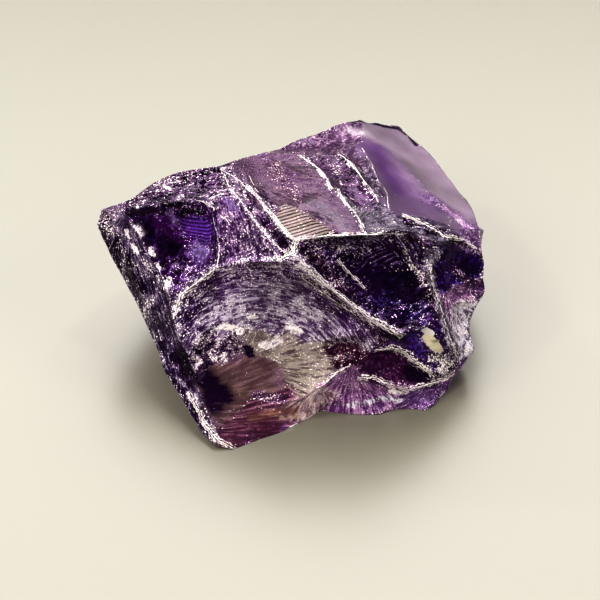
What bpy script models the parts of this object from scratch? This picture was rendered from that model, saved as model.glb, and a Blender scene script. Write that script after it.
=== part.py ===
"""A rough lump of amethyst, broken from a larger crystal.

The stone is one solid. Its skin is a net of sharp ridges with a shell-shaped hollow, the scar of
one struck flake, in each mesh of the net. The ridges are drawn first, the skin is stretched between
them like a film, and each scar is then pressed in to its own depth.
"""

import math

import bmesh
import bpy
import numpy as np
from mathutils import Vector, geometry, kdtree, noise

MM = 0.001

# The stone's real width, and how wide it is in the view that its ridges were read from: 600 pixels
# square, looking along +Y and down by the tilt, from the distance given, with the aim in its middle.
STONE_WIDTH = 39.8
WIDTH_IN_VIEW = 386.0
PIXELS_PER_MM = WIDTH_IN_VIEW / STONE_WIDTH
VIEW_MIDDLE = 300.0
VIEW_TILT = math.radians(40.0)
VIEW_DISTANCE = 300.0
VIEW_AIM = Vector((0.0, 13.4, 9.0))
VIEW_BACK = Vector((0.0, -math.cos(VIEW_TILT), math.sin(VIEW_TILT)))
VIEW_UP = Vector((0.0, math.sin(VIEW_TILT), math.cos(VIEW_TILT)))
VIEW_EYE = VIEW_AIM + VIEW_BACK * VIEW_DISTANCE

# The skin's points are this far apart along a ridge and in a scar. A scar's points keep clear of a
# ridge by this share of the ridge's own steps.
RIDGE_STEP = 0.6
FILL_STEP = 0.8
CLEAR_OF_RIDGE = 0.8
# A ridge isn't a ruled line: it wanders by this much, in waves of this length.
WANDER = 0.16
WANDER_LENGTH = 2.6
WANDER_SEED = 11
# The point inside that the whole skin can be seen from, and a smooth egg about it of the stone's
# size. Each skin point has its own point on the egg, and the hull of those makes the triangles.
HEART = Vector((0.0, 23.0, 6.0))
EGG = Vector((20.5, 20.0, 10.0))
EGG_LEVEL = 6
# Rounds of easing that stretch the skin smooth between its ridges.
EASING_ROUNDS = 900
# A scar with no depth of its own, on the hidden sides, is this deep for its width. No scar reaches
# lower than this over the table.
HIDDEN_DEPTH = 0.09
FOOT_CLEARANCE = 0.05
SHARP_ANGLE = math.radians(25.0)


def seen(across, down, height):
    """The point that shows at this pixel of the view and lies this high over the table."""
    ray = Vector((across - VIEW_MIDDLE, 0.0, 0.0))
    ray += VIEW_UP * (VIEW_MIDDLE - down)
    ray -= VIEW_BACK * PIXELS_PER_MM * VIEW_DISTANCE
    return VIEW_EYE + ray * ((height - VIEW_EYE.z) / ray.z)


# Corners where ridges meet: pixel across, pixel down, height in millimetres. Those out of sight are
# in millimetres: across, back, up.
CORNERS = {
    # the outline, round from the left tip over the top
    "tip": seen(98, 225, 12.8),
    "tip_top": seen(101, 209, 14.0),
    "tip_foot": seen(103, 240, 11.8),
    "left_mid": seen(163, 366, 3.8),
    "brow": seen(222, 166, 19.0),
    "brow_right": seen(239, 160, 19.2),
    "peak": seen(262, 153, 19.2),
    "far_left": seen(300, 140, 16.8),
    "far_top": seen(362, 119, 14.6),
    "far_right": seen(398, 126, 12.8),
    "shoulder": seen(479, 228, 12.3),
    "elbow": seen(484, 264, 10.2),
    "elbow_low": seen(483, 280, 9.0),
    "hip": seen(476, 306, 7.0),
    "spur": seen(475, 349, 3.8),
    "heel": seen(460, 369, 2.4),
    "heel_low": seen(440, 390, 0.8),
    "flake_foot": seen(425, 411, 0.0),
    "front_right": seen(380, 415, 0.0),
    "front_mid": seen(322, 411, 0.0),
    "toe": seen(232, 450, 0.0),
    "toe_left": seen(212, 443, 0.7),
    # the left edge
    "cheek": seen(120, 204, 15.2),
    "cheek_low": seen(112, 219, 14.0),
    "jaw": seen(173, 305, 10.0),
    "jaw_low": seen(192, 362, 6.0),
    "ankle": seen(197, 388, 3.8),
    # round the blue bowl at the upper left
    "bowl_top": seen(217, 209, 18.3),
    "bowl_right": seen(217, 268, 14.3),
    # the crest
    "hub": seen(295, 240, 18.0),
    "hub_low": seen(298, 252, 17.2),
    "fork": seen(285, 262, 16.6),
    "panel_left": seen(272, 215, 18.8),
    "panel_top": seen(284, 204, 18.8),
    "panel_mid": seen(302, 211, 18.9),
    "panel_right": seen(342, 236, 18.5),
    "fan_foot": seen(362, 235, 18.5),
    "fan_edge": seen(327, 193, 18.7),
    "fan_head": seen(302, 150, 18.2),
    "rib_head": seen(345, 158, 17.6),
    "rib_foot": seen(376, 212, 18.2),
    "slope_foot": seen(389, 212, 18.0),
    "slope_head": seen(364, 141, 16.0),
    "crest_right": seen(404, 214, 17.6),
    "slope_low": seen(462, 230, 14.0),
    # the right end
    "rim_top": seen(395, 229, 18.0),
    "rim_right": seen(430, 286, 12.4),
    "temple": seen(441, 241, 15.2),
    "temple_right": seen(450, 237, 14.9),
    "side": seen(446, 288, 11.3),
    "side_low": seen(449, 304, 9.9),
    "rim_foot": seen(440, 325, 9.0),
    # the lower front
    "rim_end": seen(400, 334, 9.0),
    "step_top": seen(372, 352, 6.9),
    "step_left": seen(358, 363, 6.0),
    "pocket_foot": seen(412, 390, 2.4),
    "pocket_right": seen(428, 369, 4.2),
    "shelf_right": seen(322, 343, 6.8),
    "shelf_foot": seen(312, 392, 3.2),
    "shelf_mid": seen(243, 316, 9.0),
    "wedge": seen(330, 379, 4.4),
    "pool_head": seen(212, 365, 5.0),
    "pool_mid": seen(237, 385, 3.7),
    "pool_right": seen(298, 400, 2.7),
    "shelf_dip": seen(247, 352, 6.0),
    # hidden from the view, in millimetres: across, back, up
    "base_right": Vector((16.0, 15.0, 0.0)),
    "base_back_right": Vector((12.0, 28.0, 0.0)),
    "base_back_mid": Vector((7.0, 31.6, 0.0)),
    "base_back": Vector((1.0, 33.0, 0.0)),
    "base_back_left": Vector((-9.0, 27.5, 0.0)),
    "base_left": Vector((-12.0, 14.0, 0.0)),
    "back_left": Vector((-16.5, 28.0, 8.0)),
    "back_brow": Vector((-9.0, 31.0, 11.2)),
    "back_tip": Vector((-19.2, 24.8, 10.8)),
    "back_low": Vector((-4.0, 36.5, 5.6)),
    "back_mid": Vector((3.8, 39.2, 7.4)),
    "base_side": Vector((14.8, 22.0, 0.0)),
    "back_right": Vector((12.5, 37.0, 6.0)),
    "side_back": Vector((19.0, 25.0, 5.5)),
}

# Each ridge runs from corner to corner, over the points between them that its bends need, which are
# read as the corners are.
RIDGES = {
    # outline
    "tip_front": ["tip", "tip_foot"],
    "tip_back": ["tip", "tip_top"],
    "tip_ridge": ["tip_top", "cheek"],
    "brow_left": ["cheek", (131, 198, 16.0), (160, 179, 17.4), (195, 169, 18.6), "brow"],
    "brow_mid": ["brow", "brow_right"],
    "brow_peak": ["brow_right", "peak"],
    "far_rise": ["peak", (280, 148, 17.6), "far_left"],
    "far_edge": ["far_left", (322, 132, 16.0), (342, 124, 15.4), "far_top"],
    "far_crown": ["far_top", (376, 122, 13.9), (386, 125, 13.3), "far_right"],
    "far_fall": [
        "far_right", (424, 149, 12.2), (445, 172, 12.0), (459, 192, 12.1), (470, 205, 12.3), "shoulder",
    ],
    "shoulder_edge": ["shoulder", (481, 246, 11.4), "elbow"],
    "elbow_edge": ["elbow", "elbow_low"],
    "hip_edge": ["elbow_low", (484, 292, 8.0), "hip"],
    "spur_edge": ["hip", (470, 318, 6.1), (470, 334, 5.0), "spur"],
    "heel_edge": ["spur", "heel"],
    "heel_slope": ["heel", "heel_low"],
    "flake_edge": ["heel_low", (434, 404, 0.3), "flake_foot"],
    "left_edge_low": ["toe_left", (190, 413, 1.6), (177, 390, 2.6), "left_mid"],
    "left_edge_high": ["left_mid", (149, 331, 5.4), (130, 292, 7.6), (112, 256, 10.6), "tip_foot"],
    "toe_edge": ["toe", "toe_left"],
    # left face
    "cheek_fold": ["cheek", "cheek_low"],
    "cheek_foot": ["cheek_low", "tip_foot"],
    "jaw_line": ["cheek", (131, 224, 14.6), (146, 248, 13.0), (163, 276, 11.3), "jaw"],
    "jaw_drop": ["jaw", (175, 325, 8.8), (184, 345, 7.4), "jaw_low"],
    "ankle_line": ["jaw_low", "ankle"],
    "shin": ["ankle", (207, 415, 2.3), (220, 437, 1.1), "toe"],
    "groove": ["cheek_low", (126, 256, 11.6), (140, 290, 9.0), (153, 325, 6.4), "left_mid"],
    # blue bowl
    "bowl_lid": ["cheek", (136, 209, 15.8), (166, 203, 17.2), (200, 201, 18.1), "bowl_top"],
    "bowl_side": ["bowl_top", (217, 224, 17.6), (219, 246, 16.0), "bowl_right"],
    "bowl_foot": ["bowl_right", (199, 281, 12.6), (184, 292, 11.2), "jaw"],
    "brow_drop": ["brow", (220, 188, 18.8), "bowl_top"],
    # strip beside the crest
    "strip_left": ["brow", (236, 195, 18.8), (255, 222, 18.1), (271, 246, 17.3), "fork"],
    "strip_right": ["brow_right", (247, 181, 19.1), (260, 203, 18.9), "panel_left"],
    "strip_end": ["panel_left", (283, 231, 18.4), "hub"],
    "hub_drop": ["hub", "hub_low"],
    "fork_left": ["hub_low", "fork"],
    "roll": ["bowl_right", (240, 263, 15.2), (262, 262, 16.0), "fork"],
    # bright panel
    "panel_edge": ["panel_left", "panel_top"],
    "panel_back": ["panel_top", "panel_mid"],
    "panel_back_right": ["panel_mid", (318, 220, 18.9), (330, 229, 18.8), "panel_right"],
    "panel_front": ["hub", (320, 237, 18.2), "panel_right"],
    "crest_mid": ["panel_right", "fan_foot"],
    # dusty slope and fan of ribs
    "fold": ["peak", (270, 159, 19.0), (290, 169, 18.8), (314, 179, 18.6), "fan_edge"],
    "fold_low": ["fan_edge", (345, 212, 18.8), (356, 228, 18.6), "fan_foot"],
    "pale_edge": ["panel_mid", (310, 202, 18.9), "fan_edge"],
    "back_crest": ["peak", (285, 153, 18.7), "fan_head"],
    "fan_rib": [
        "fan_head", (310, 160, 18.4), (323, 173, 18.7), (331, 187, 19.0),
        (342, 195, 19.1), (351, 210, 19.0), (358, 224, 18.8), "fan_foot",
    ],
    "fan_top": ["fan_head", (318, 157, 17.9), (332, 153, 17.6), "rib_head"],
    "rib": ["rib_head", (354, 164, 18.1), (363, 178, 18.6), (371, 191, 18.7), (377, 202, 18.6), "rib_foot"],
    "rib_top": ["rib_head", (352, 146, 16.9), "slope_head"],
    "slope_left": ["slope_head", (369, 161, 17.0), (378, 180, 17.8), (386, 198, 18.1), "slope_foot"],
    "slope_crown": ["slope_head", (364, 130, 15.2), "far_top"],
    "crest_band": ["fan_foot", (366, 221, 18.5), "rib_foot"],
    "crest_band_mid": ["rib_foot", "slope_foot"],
    "crest_band_right": ["slope_foot", "crest_right"],
    # smooth slope at the back
    "slope_fold": [
        "slope_head", (377, 142, 15.5), (395, 153, 15.2), (411, 170, 15.1),
        (428, 190, 15.0), (445, 210, 14.8), "slope_low",
    ],
    "slope_low_edge": ["crest_right", (425, 217, 16.8), (445, 224, 15.4), "slope_low"],
    "slope_end": ["slope_low", "shoulder"],
    "right_crest": ["crest_right", (420, 223, 16.6), (436, 231, 15.6), "temple_right"],
    "right_crest_low": ["temple_right", (463, 240, 13.6), (475, 251, 11.8), "elbow"],
    # dark bowl
    "bowl_rim_left": ["fan_foot", (378, 234, 18.4), "rim_top"],
    "bowl_rim_mid": [
        "rim_top", (409, 234, 17.2), (422, 243, 16.0), (430, 256, 14.8), (432, 271, 13.6), "rim_right",
    ],
    "bowl_rim_inner": ["rim_top", (396, 246, 15.8), (406, 259, 14.2), (418, 272, 13.0), "rim_right"],
    "bowl_rim_low": ["rim_right", (434, 305, 10.8), "rim_foot"],
    "rim_fall": ["rim_foot", (448, 345, 6.6), "heel"],
    "bowl_keel": [
        "hub_low", (311, 268, 15.8), (326, 283, 14.5), (343, 298, 13.0),
        (361, 311, 11.5), (381, 324, 10.1), "rim_end",
    ],
    "bowl_sill": ["rim_end", (414, 331, 9.1), (428, 325, 9.3), "rim_foot"],
    # right end
    "temple_line": ["crest_right", (424, 229, 16.4), "temple"],
    "temple_top": ["temple", "temple_right"],
    "side_line": ["temple", (442, 262, 13.4), "side"],
    "side_line_low": ["side", "side_low"],
    "side_foot": ["side_low", (453, 322, 8.2), (457, 345, 5.6), "heel"],
    "side_step": ["side", (461, 286, 10.4), (471, 280, 9.8), "elbow_low"],
    "side_step_low": ["side_low", (458, 302, 9.3), (467, 303, 8.2), "hip"],
    # lower right
    "step": ["step_left", "step_top"],
    "step_mid": ["step_top", (388, 349, 6.8), (403, 350, 6.3), (416, 360, 5.2), "pocket_right"],
    "step_end": ["pocket_right", (443, 374, 3.2), "heel"],
    "niche_left": ["rim_end", (385, 338, 8.3), "step_top"],
    "pocket_left": ["step_left", (359, 375, 4.6), (372, 381, 3.8), (395, 384, 3.2), "pocket_foot"],
    "pocket_low": ["pocket_foot", (428, 385, 2.4), "heel_low"],
    "flake_left": ["pocket_foot", (398, 397, 1.5), (388, 405, 0.8), "front_right"],
    "flake_base": ["front_right", (400, 409, 0.0), "flake_foot"],
    # lower front
    "ledge_top": ["shelf_right", (336, 338, 7.8), (352, 335, 8.5), (366, 340, 8.0), "step_top"],
    "ledge_side": ["shelf_right", (328, 360, 5.5), (324, 378, 4.2), "shelf_foot"],
    "shelf_back_right": ["shelf_mid", (266, 318, 8.8), (290, 321, 8.4), (308, 330, 7.8), "shelf_right"],
    "shelf_back_left": ["jaw_low", (200, 339, 7.6), (216, 323, 8.7), "shelf_mid"],
    "shelf_fold": ["shelf_mid", (242, 335, 7.4), "shelf_dip"],
    "shelf_fold_low": ["shelf_dip", (240, 369, 4.8), "pool_mid"],
    "shelf_front": ["shelf_dip", (266, 358, 5.6), (282, 364, 5.2), (286, 382, 3.9), "pool_right"],
    "pool_left": ["ankle", (205, 373, 4.6), "pool_head"],
    "pool_top": ["pool_head", (225, 372, 4.6), "pool_mid"],
    "pool_top_mid": ["pool_mid", (252, 397, 2.9), (275, 402, 2.5), "pool_right"],
    "pool_top_right": ["pool_right", "shelf_foot"],
    "pool_left_top": ["pool_head", "jaw_low"],
    "wedge_top": ["shelf_foot", (319, 388, 3.6), "wedge"],
    "wedge_rise": ["wedge", (343, 369, 5.5), "step_left"],
    "wedge_side": ["wedge", (331, 393, 2.4), "front_mid"],
    "wedge_left": ["shelf_foot", (318, 402, 1.4), "front_mid"],
    # base outline
    "base_front_left": ["toe", (282, 431, 0.0), "front_mid"],
    "base_front": ["front_mid", (350, 414, 0.0), "front_right"],
    "base_right_edge": ["flake_foot", Vector((15.6, 10.0, 0.0)), "base_right"],
    "base_side_edge": ["base_right", "base_side"],
    "base_back_right_edge": ["base_side", "base_back_right"],
    "base_back_mid_edge": ["base_back_right", "base_back_mid"],
    "base_back_edge": ["base_back_mid", "base_back"],
    "base_back_left_edge": ["base_back", Vector((-4.6, 31.2, 0.0)), "base_back_left"],
    "base_left_back_edge": ["base_back_left", Vector((-11.4, 21.0, 0.0)), "base_left"],
    "base_left_edge": ["base_left", Vector((-11.8, 8.0, 0.0)), Vector((-9.8, 2.6, 0.0)), "toe"],
    # hidden sides
    "under_left": ["base_left", Vector((-16.5, 17.0, 5.4)), "tip_foot"],
    "back_left_rise": ["base_back_left", Vector((-13.4, 28.6, 4.0)), "back_left"],
    "back_left_tip": ["back_left", "back_tip"],
    "back_tip_edge": ["back_tip", "tip"],
    "back_tip_chip": ["back_tip", Vector((-17.6, 24.0, 13.6)), "cheek"],
    "back_left_rib": ["back_left", Vector((-14.6, 27.6, 11.8)), Vector((-11.4, 25.8, 15.4)), "brow"],
    "back_left_top": ["back_left", Vector((-13.6, 30.2, 10.2)), "back_brow"],
    "back_brow_peak": ["back_brow", Vector((-6.8, 28.6, 14.4)), "peak"],
    "back_brow_far": ["back_brow", Vector((-4.0, 32.2, 12.8)), "far_left"],
    "back_drop": ["back_brow", Vector((-6.8, 34.4, 8.4)), "back_low"],
    "back_drop_left": [
        "back_brow", Vector((-10.6, 32.4, 7.4)), Vector((-10.2, 30.8, 3.4)), "base_back_left",
    ],
    "back_foot": ["back_low", Vector((-1.4, 35.6, 3.0)), "base_back"],
    "back_across": ["back_low", Vector((0.4, 38.2, 7.2)), "back_mid"],
    "back_across_right": ["back_mid", Vector((8.4, 38.6, 6.2)), "back_right"],
    "back_wall_rib": ["far_left", Vector((0.2, 35.0, 13.0)), Vector((2.4, 37.9, 10.2)), "back_mid"],
    "back_crown_rib": ["far_top", Vector((7.4, 39.0, 10.6)), Vector((9.4, 38.9, 8.0)), "back_right"],
    "under_back_rib": ["back_mid", Vector((5.6, 36.2, 3.8)), "base_back_mid"],
    "back_right_rise": ["back_right", Vector((12.0, 37.6, 9.6)), "far_right"],
    "back_right_foot": ["back_right", Vector((12.8, 33.0, 2.6)), "base_back_right"],
    "side_back_rise": ["side_back", Vector((19.4, 24.4, 9.0)), "shoulder"],
    "side_back_foot": ["side_back", Vector((18.0, 20.0, 2.6)), "base_right"],
    "side_back_rib": ["side_back", Vector((17.6, 29.0, 8.2)), Vector((14.8, 33.2, 10.0)), "far_right"],
    "side_back_low": ["side_back", Vector((16.8, 24.0, 2.6)), "base_side"],
    "side_back_across": ["side_back", Vector((16.6, 32.0, 6.6)), "back_right"],
    "side_front": ["base_right", Vector((17.6, 12.8, 1.8)), "spur"],
}

# A point inside each scar, read as the corners are, and how deep the scar is in millimetres.
SCARS = {
    "tip_chip": (seen(106, 222, 13.4), 0.1),
    "left_face": (seen(150, 290, 10.2), 0.4),
    "left_edge": (seen(122, 264, 10.4), 0.25),
    "brow_strip": (seen(170, 190, 17.6), 0.35),
    "blue_bowl": (seen(175, 245, 14.5), 2.6),
    "mauve_slope": (seen(236, 232, 17.0), 0.9),
    "speckled_strip": (seen(258, 215, 18.6), 0.2),
    "bright_panel": (seen(302, 225, 18.4), 0.35),
    "dusty_slope": (seen(285, 188, 18.9), 0.7),
    "pale_sliver": (seen(333, 212, 18.7), 0.3),
    "fan_left": (seen(345, 182, 18.2), 0.9),
    "fan_right": (seen(370, 180, 17.8), 0.5),
    "far_slope": (seen(330, 142, 16.6), 0.6),
    "smooth_slope": (seen(405, 188, 16.6), 0.8),
    "far_rim": (seen(432, 176, 13.2), 0.5),
    "right_crest": (seen(466, 238, 13.4), 0.2),
    "crest_strip": (seen(385, 224, 18.0), 0.25),
    "bowl_crescent": (seen(415, 254, 14.6), 0.2),
    "dark_bowl": (seen(370, 275, 14.0), 2.9),
    "swoosh": (seen(270, 295, 12.6), 1.2),
    "window": (seen(412, 344, 7.4), 0.7),
    "right_side": (seen(464, 262, 11.8), 1.0),
    "right_step": (seen(468, 293, 8.8), 0.3),
    "right_foot": (seen(464, 325, 6.2), 0.6),
    "pocket": (seen(395, 368, 4.2), 1.2),
    "front_slope": (seen(368, 398, 2.2), 0.5),
    "foot_flake": (seen(414, 400, 1.0), 0.1),
    "ledge_wall": (seen(342, 356, 6.6), 0.8),
    "bright_shelf": (seen(298, 350, 6.6), 0.7),
    "white_shelf": (seen(222, 345, 7.0), 0.7),
    "brown_dip": (seen(262, 380, 4.2), 0.4),
    "pool": (seen(255, 418, 1.9), 0.35),
    "wedge_chip": (seen(321, 397, 2.4), 0.15),
    "underside": (Vector((2.0, 16.0, 0.0)), 0.0),
}


def wandered(point):
    """The point moved a little, as along a broken edge. What stands on the table stays on it."""
    move = noise.noise_vector(point / WANDER_LENGTH) * WANDER
    if point.z < WANDER:
        move.z = 0.0
    return point + move


def knot_of(stop):
    """The place of a ridge's stop: a corner's name, a seen point or a hidden one."""
    if isinstance(stop, str):
        return CORNERS[stop]
    if isinstance(stop, tuple):
        return seen(*stop)
    return stop


def ridge_line(stops):
    """Points a step apart along a smooth curve through a ridge's stops, without its two ends."""
    knots = [knot_of(stop) for stop in stops]
    padded = [knots[0], *knots, knots[-1]]
    curve = [knots[0]]
    for before, start, end, after in zip(padded, padded[1:], padded[2:], padded[3:]):
        leaving = start + (end - before) / 6.0
        arriving = end - (after - start) / 6.0
        curve += geometry.interpolate_bezier(start, leaving, arriving, end, 12)[1:]
    lengths = np.cumsum([0.0] + [(b - a).length for a, b in zip(curve, curve[1:])])
    steps = max(1, round(lengths[-1] / RIDGE_STEP))
    places = np.linspace(0.0, lengths[-1], steps + 1)[1:-1]
    columns = [np.interp(places, lengths, [point[axis] for point in curve]) for axis in range(3)]
    return [Vector(row) for row in zip(*columns)]


def ridge_net():
    """The points of all ridges, and the pairs of them that are neighbours along a ridge."""
    points = [wandered(corner) for corner in CORNERS.values()]
    number_of = {name: number for number, name in enumerate(CORNERS)}
    pairs = []
    for stops in RIDGES.values():
        first = len(points)
        points += [wandered(point) for point in ridge_line(stops)]
        chain = [number_of[stops[0]], *range(first, len(points)), number_of[stops[-1]]]
        pairs += zip(chain, chain[1:])
    return points, pairs


def on_egg(point):
    out = point - HEART
    stretch = math.sqrt((out.x / EGG.x) ** 2 + (out.y / EGG.y) ** 2 + (out.z / EGG.z) ** 2)
    return out / stretch


def fill_points(ridge_points, pairs):
    """Points spread evenly between the ridges, clear enough of them not to break their edges."""
    eggs = [on_egg(point) for point in ridge_points]
    sizes = [(point - HEART).length / egg.length for point, egg in zip(ridge_points, eggs)]
    clearance = [0.0] * len(eggs)
    tree = kdtree.KDTree(len(eggs))
    for index, egg in enumerate(eggs):
        tree.insert(egg, index)
    tree.balance()
    for a, b in pairs:
        length = CLEAR_OF_RIDGE * (eggs[a] - eggs[b]).length
        clearance[a] = max(clearance[a], length)
        clearance[b] = max(clearance[b], length)
    ball = bmesh.new()
    bmesh.ops.create_icosphere(ball, subdivisions=EGG_LEVEL, radius=1.0)
    offsets = [(x, y, z) for x in (-1, 0, 1) for y in (-1, 0, 1) for z in (-1, 0, 1)]
    taken = {}
    points = []
    for vert in ball.verts:
        egg = vert.co * EGG
        near = tree.find_n(egg, 6)
        weights = [1.0 / (distance + 0.1) ** 2 for _, _, distance in near]
        size = sum(w * sizes[index] for w, (_, index, _) in zip(weights, near)) / sum(weights)
        point = HEART + egg * size
        if any(distance < clearance[index] for _, index, distance in near):
            continue
        if (point - ridge_points[near[0][1]]).length < CLEAR_OF_RIDGE * RIDGE_STEP:
            continue
        box = [math.floor(value / FILL_STEP) for value in point]
        around = [tuple(a + b for a, b in zip(box, offset)) for offset in offsets]
        if any((point - other).length < FILL_STEP for key in around for other in taken.get(key, ())):
            continue
        taken.setdefault(tuple(box), []).append(point)
        points.append(point)
    ball.free()
    return points


def hull_on_egg(points):
    """A closed skin of triangles over all the points, with each at its own place on the egg."""
    skin = bmesh.new()
    for point in points:
        skin.verts.new(on_egg(point))
    bmesh.ops.convex_hull(skin, input=skin.verts, use_existing_faces=False)
    bmesh.ops.recalc_face_normals(skin, faces=skin.faces)
    skin.verts.index_update()
    return skin


def neighbour_mean(values, ends, degree):
    """For each point, the mean of a value over the points that it shares an edge with."""
    total = np.bincount(ends[:, 0], values[ends[:, 1]], len(values))
    total += np.bincount(ends[:, 1], values[ends[:, 0]], len(values))
    return total / degree


def cell_numbers(ends, is_fill):
    """For each fill point, a number that is the same all over one mesh of the ridge net."""
    cell = np.where(is_fill, np.arange(len(is_fill)), -1)
    inner = ends[is_fill[ends].all(axis=1)]
    spreading = True
    while spreading:
        before = cell.copy()
        lowest = np.minimum(cell[inner[:, 0]], cell[inner[:, 1]])
        np.minimum.at(cell, inner[:, 0], lowest)
        np.minimum.at(cell, inner[:, 1], lowest)
        spreading = (before != cell).any()
    return cell


def press_in(place, rise, cell, faces):
    """Sinks each scar along its own mean direction, deepest where it is furthest from its ridges."""
    triangles = place[faces]
    crosses = np.cross(triangles[:, 1] - triangles[:, 0], triangles[:, 2] - triangles[:, 0]) / 2.0
    fills = np.flatnonzero(cell >= 0)
    depths = {}
    for seed, depth in SCARS.values():
        nearest = fills[np.argmin(((place[fills] - np.array(seed)) ** 2).sum(axis=1))]
        depths[cell[nearest]] = depth
    for number in np.unique(cell[fills]):
        inside = cell == number
        touching = crosses[(cell[faces] == number).any(axis=1)]
        area = np.linalg.norm(touching, axis=1).sum()
        depth = depths.get(number, HIDDEN_DEPTH * math.sqrt(area))
        if depth == 0.0:
            continue
        outward = touching.sum(axis=0) / np.linalg.norm(touching.sum(axis=0))
        place[inside] -= np.outer(rise[inside] / rise[inside].max() * depth, outward)
        place[inside, 2] = np.maximum(place[inside, 2], FOOT_CLEARANCE)


def build_skin():
    """The stone's skin in millimetres, with its underside on the table."""
    ridge_points, pairs = ridge_net()
    points = ridge_points + fill_points(ridge_points, pairs)
    skin = hull_on_egg(points)
    faces = np.array([[vert.index for vert in face.verts] for face in skin.faces])
    ends = np.array([[vert.index for vert in edge.verts] for edge in skin.edges])
    degree = np.maximum(np.bincount(ends.ravel(), minlength=len(points)), 1)
    is_fill = np.arange(len(points)) >= len(ridge_points)
    place = np.array([tuple(point) for point in points])
    rise = np.zeros(len(points))
    for _ in range(EASING_ROUNDS):
        for axis in range(3):
            place[is_fill, axis] = neighbour_mean(place[:, axis], ends, degree)[is_fill]
        rise[is_fill] = neighbour_mean(rise, ends, degree)[is_fill] + 1.0
    press_in(place, rise, cell_numbers(ends, is_fill), faces)
    for vert, point in zip(skin.verts, place):
        vert.co = point
    bmesh.ops.delete(skin, geom=[vert for vert in skin.verts if not vert.link_faces], context="VERTS")
    return skin


def quartz_material():
    material = bpy.data.materials.new("amethyst")
    material.use_nodes = True
    surface = material.node_tree.nodes["Principled BSDF"]
    surface.inputs["Base Color"].default_value = (0.07, 0.025, 0.16, 1.0)
    surface.inputs["Roughness"].default_value = 0.12
    surface.inputs["Metallic"].default_value = 0.0
    surface.inputs["IOR"].default_value = 1.544
    return material


def build_stone():
    """The whole stone, with the middle of its box's underside at the origin."""
    skin = build_skin()
    low = Vector(min(vert.co[axis] for vert in skin.verts) for axis in range(3))
    high = Vector(max(vert.co[axis] for vert in skin.verts) for axis in range(3))
    middle = Vector(((low.x + high.x) / 2.0, (low.y + high.y) / 2.0, low.z))
    for vert in skin.verts:
        vert.co = (vert.co - middle) * MM
    mesh = bpy.data.meshes.new("rough_amethyst")
    skin.to_mesh(mesh)
    skin.free()
    mesh.shade_smooth()
    mesh.set_sharp_from_angle(angle=SHARP_ANGLE)
    mesh.materials.append(quartz_material())
    stone = bpy.data.objects.new("rough_amethyst", mesh)
    collection = bpy.data.collections.new("amethyst_lump")
    bpy.context.scene.collection.children.link(collection)
    collection.objects.link(stone)


for old in list(bpy.data.objects):
    bpy.data.objects.remove(old, do_unlink=True)
noise.seed_set(WANDER_SEED)
build_stone()
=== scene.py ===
"""A rough amethyst lump as it looks: clear violet quartz, broken into shell-shaped scars."""

import heapq
import math

import bmesh
import bpy
import numpy as np
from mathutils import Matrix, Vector, noise
from mathutils.bvhtree import BVHTree
from mathutils.kdtree import KDTree


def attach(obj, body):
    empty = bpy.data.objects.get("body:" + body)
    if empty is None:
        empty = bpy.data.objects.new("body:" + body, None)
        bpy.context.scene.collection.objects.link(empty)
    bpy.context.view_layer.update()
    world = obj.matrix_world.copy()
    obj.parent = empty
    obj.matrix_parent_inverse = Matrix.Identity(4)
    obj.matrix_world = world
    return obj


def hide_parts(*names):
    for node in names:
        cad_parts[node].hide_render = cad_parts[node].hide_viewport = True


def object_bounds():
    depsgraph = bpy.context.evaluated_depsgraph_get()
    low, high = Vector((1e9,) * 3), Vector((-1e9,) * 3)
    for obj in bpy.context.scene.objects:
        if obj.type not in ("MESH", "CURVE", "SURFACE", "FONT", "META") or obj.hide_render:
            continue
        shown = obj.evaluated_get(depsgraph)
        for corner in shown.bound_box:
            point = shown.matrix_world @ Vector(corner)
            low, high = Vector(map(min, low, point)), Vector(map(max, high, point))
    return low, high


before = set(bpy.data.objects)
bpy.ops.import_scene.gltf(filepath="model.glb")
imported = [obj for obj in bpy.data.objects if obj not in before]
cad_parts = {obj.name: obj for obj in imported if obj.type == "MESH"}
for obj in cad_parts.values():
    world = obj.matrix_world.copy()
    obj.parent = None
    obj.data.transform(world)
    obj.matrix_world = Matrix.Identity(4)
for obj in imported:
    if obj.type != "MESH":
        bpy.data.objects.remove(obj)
cad_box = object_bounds()
MM = 0.001

# The view
# A close-up of the stone on a table, from 300 mm away and looking down at 40 degrees. Places on the
# stone are named below by their pixels in this view, 600 across and 600 down.
VIEW_SIDE = 600
VIEW_TILT = math.radians(40.0)
VIEW_DISTANCE = 300.0 * MM
VIEW_WIDTH = 61.87 * MM
VIEW_AIM = Vector((0.88, -6.42, 9.0)) * MM
SENSOR = 36.0

back = Vector((0.0, -math.cos(VIEW_TILT), math.sin(VIEW_TILT)))
up = Vector((0.0, math.sin(VIEW_TILT), math.cos(VIEW_TILT)))
eye = VIEW_AIM + back * VIEW_DISTANCE

camera_data = bpy.data.cameras.new("view")
camera_data.sensor_width = SENSOR
camera_data.lens = SENSOR * VIEW_DISTANCE / VIEW_WIDTH
camera_data.clip_start = 0.01
camera = bpy.data.objects.new("view", camera_data)
camera.location = eye
camera.rotation_euler = (math.pi / 2.0 - VIEW_TILT, 0.0, 0.0)
bpy.context.scene.collection.objects.link(camera)
bpy.context.scene.camera = camera


def sight(pixel):
    """The direction from the eye through this pixel of the view."""
    step = VIEW_WIDTH / VIEW_SIDE
    across = (pixel[0] - VIEW_SIDE / 2.0) * step
    rise = (VIEW_SIDE / 2.0 - pixel[1]) * step
    return (Vector((across, 0.0, 0.0)) + up * rise - back * VIEW_DISTANCE).normalized()


# The stone's skin
# One lump of quartz with no coat or crust: its whole skin is fresh fracture. Each struck flake left
# a scar, hollow like a shell, and the scars meet in sharp ridges.

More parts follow.
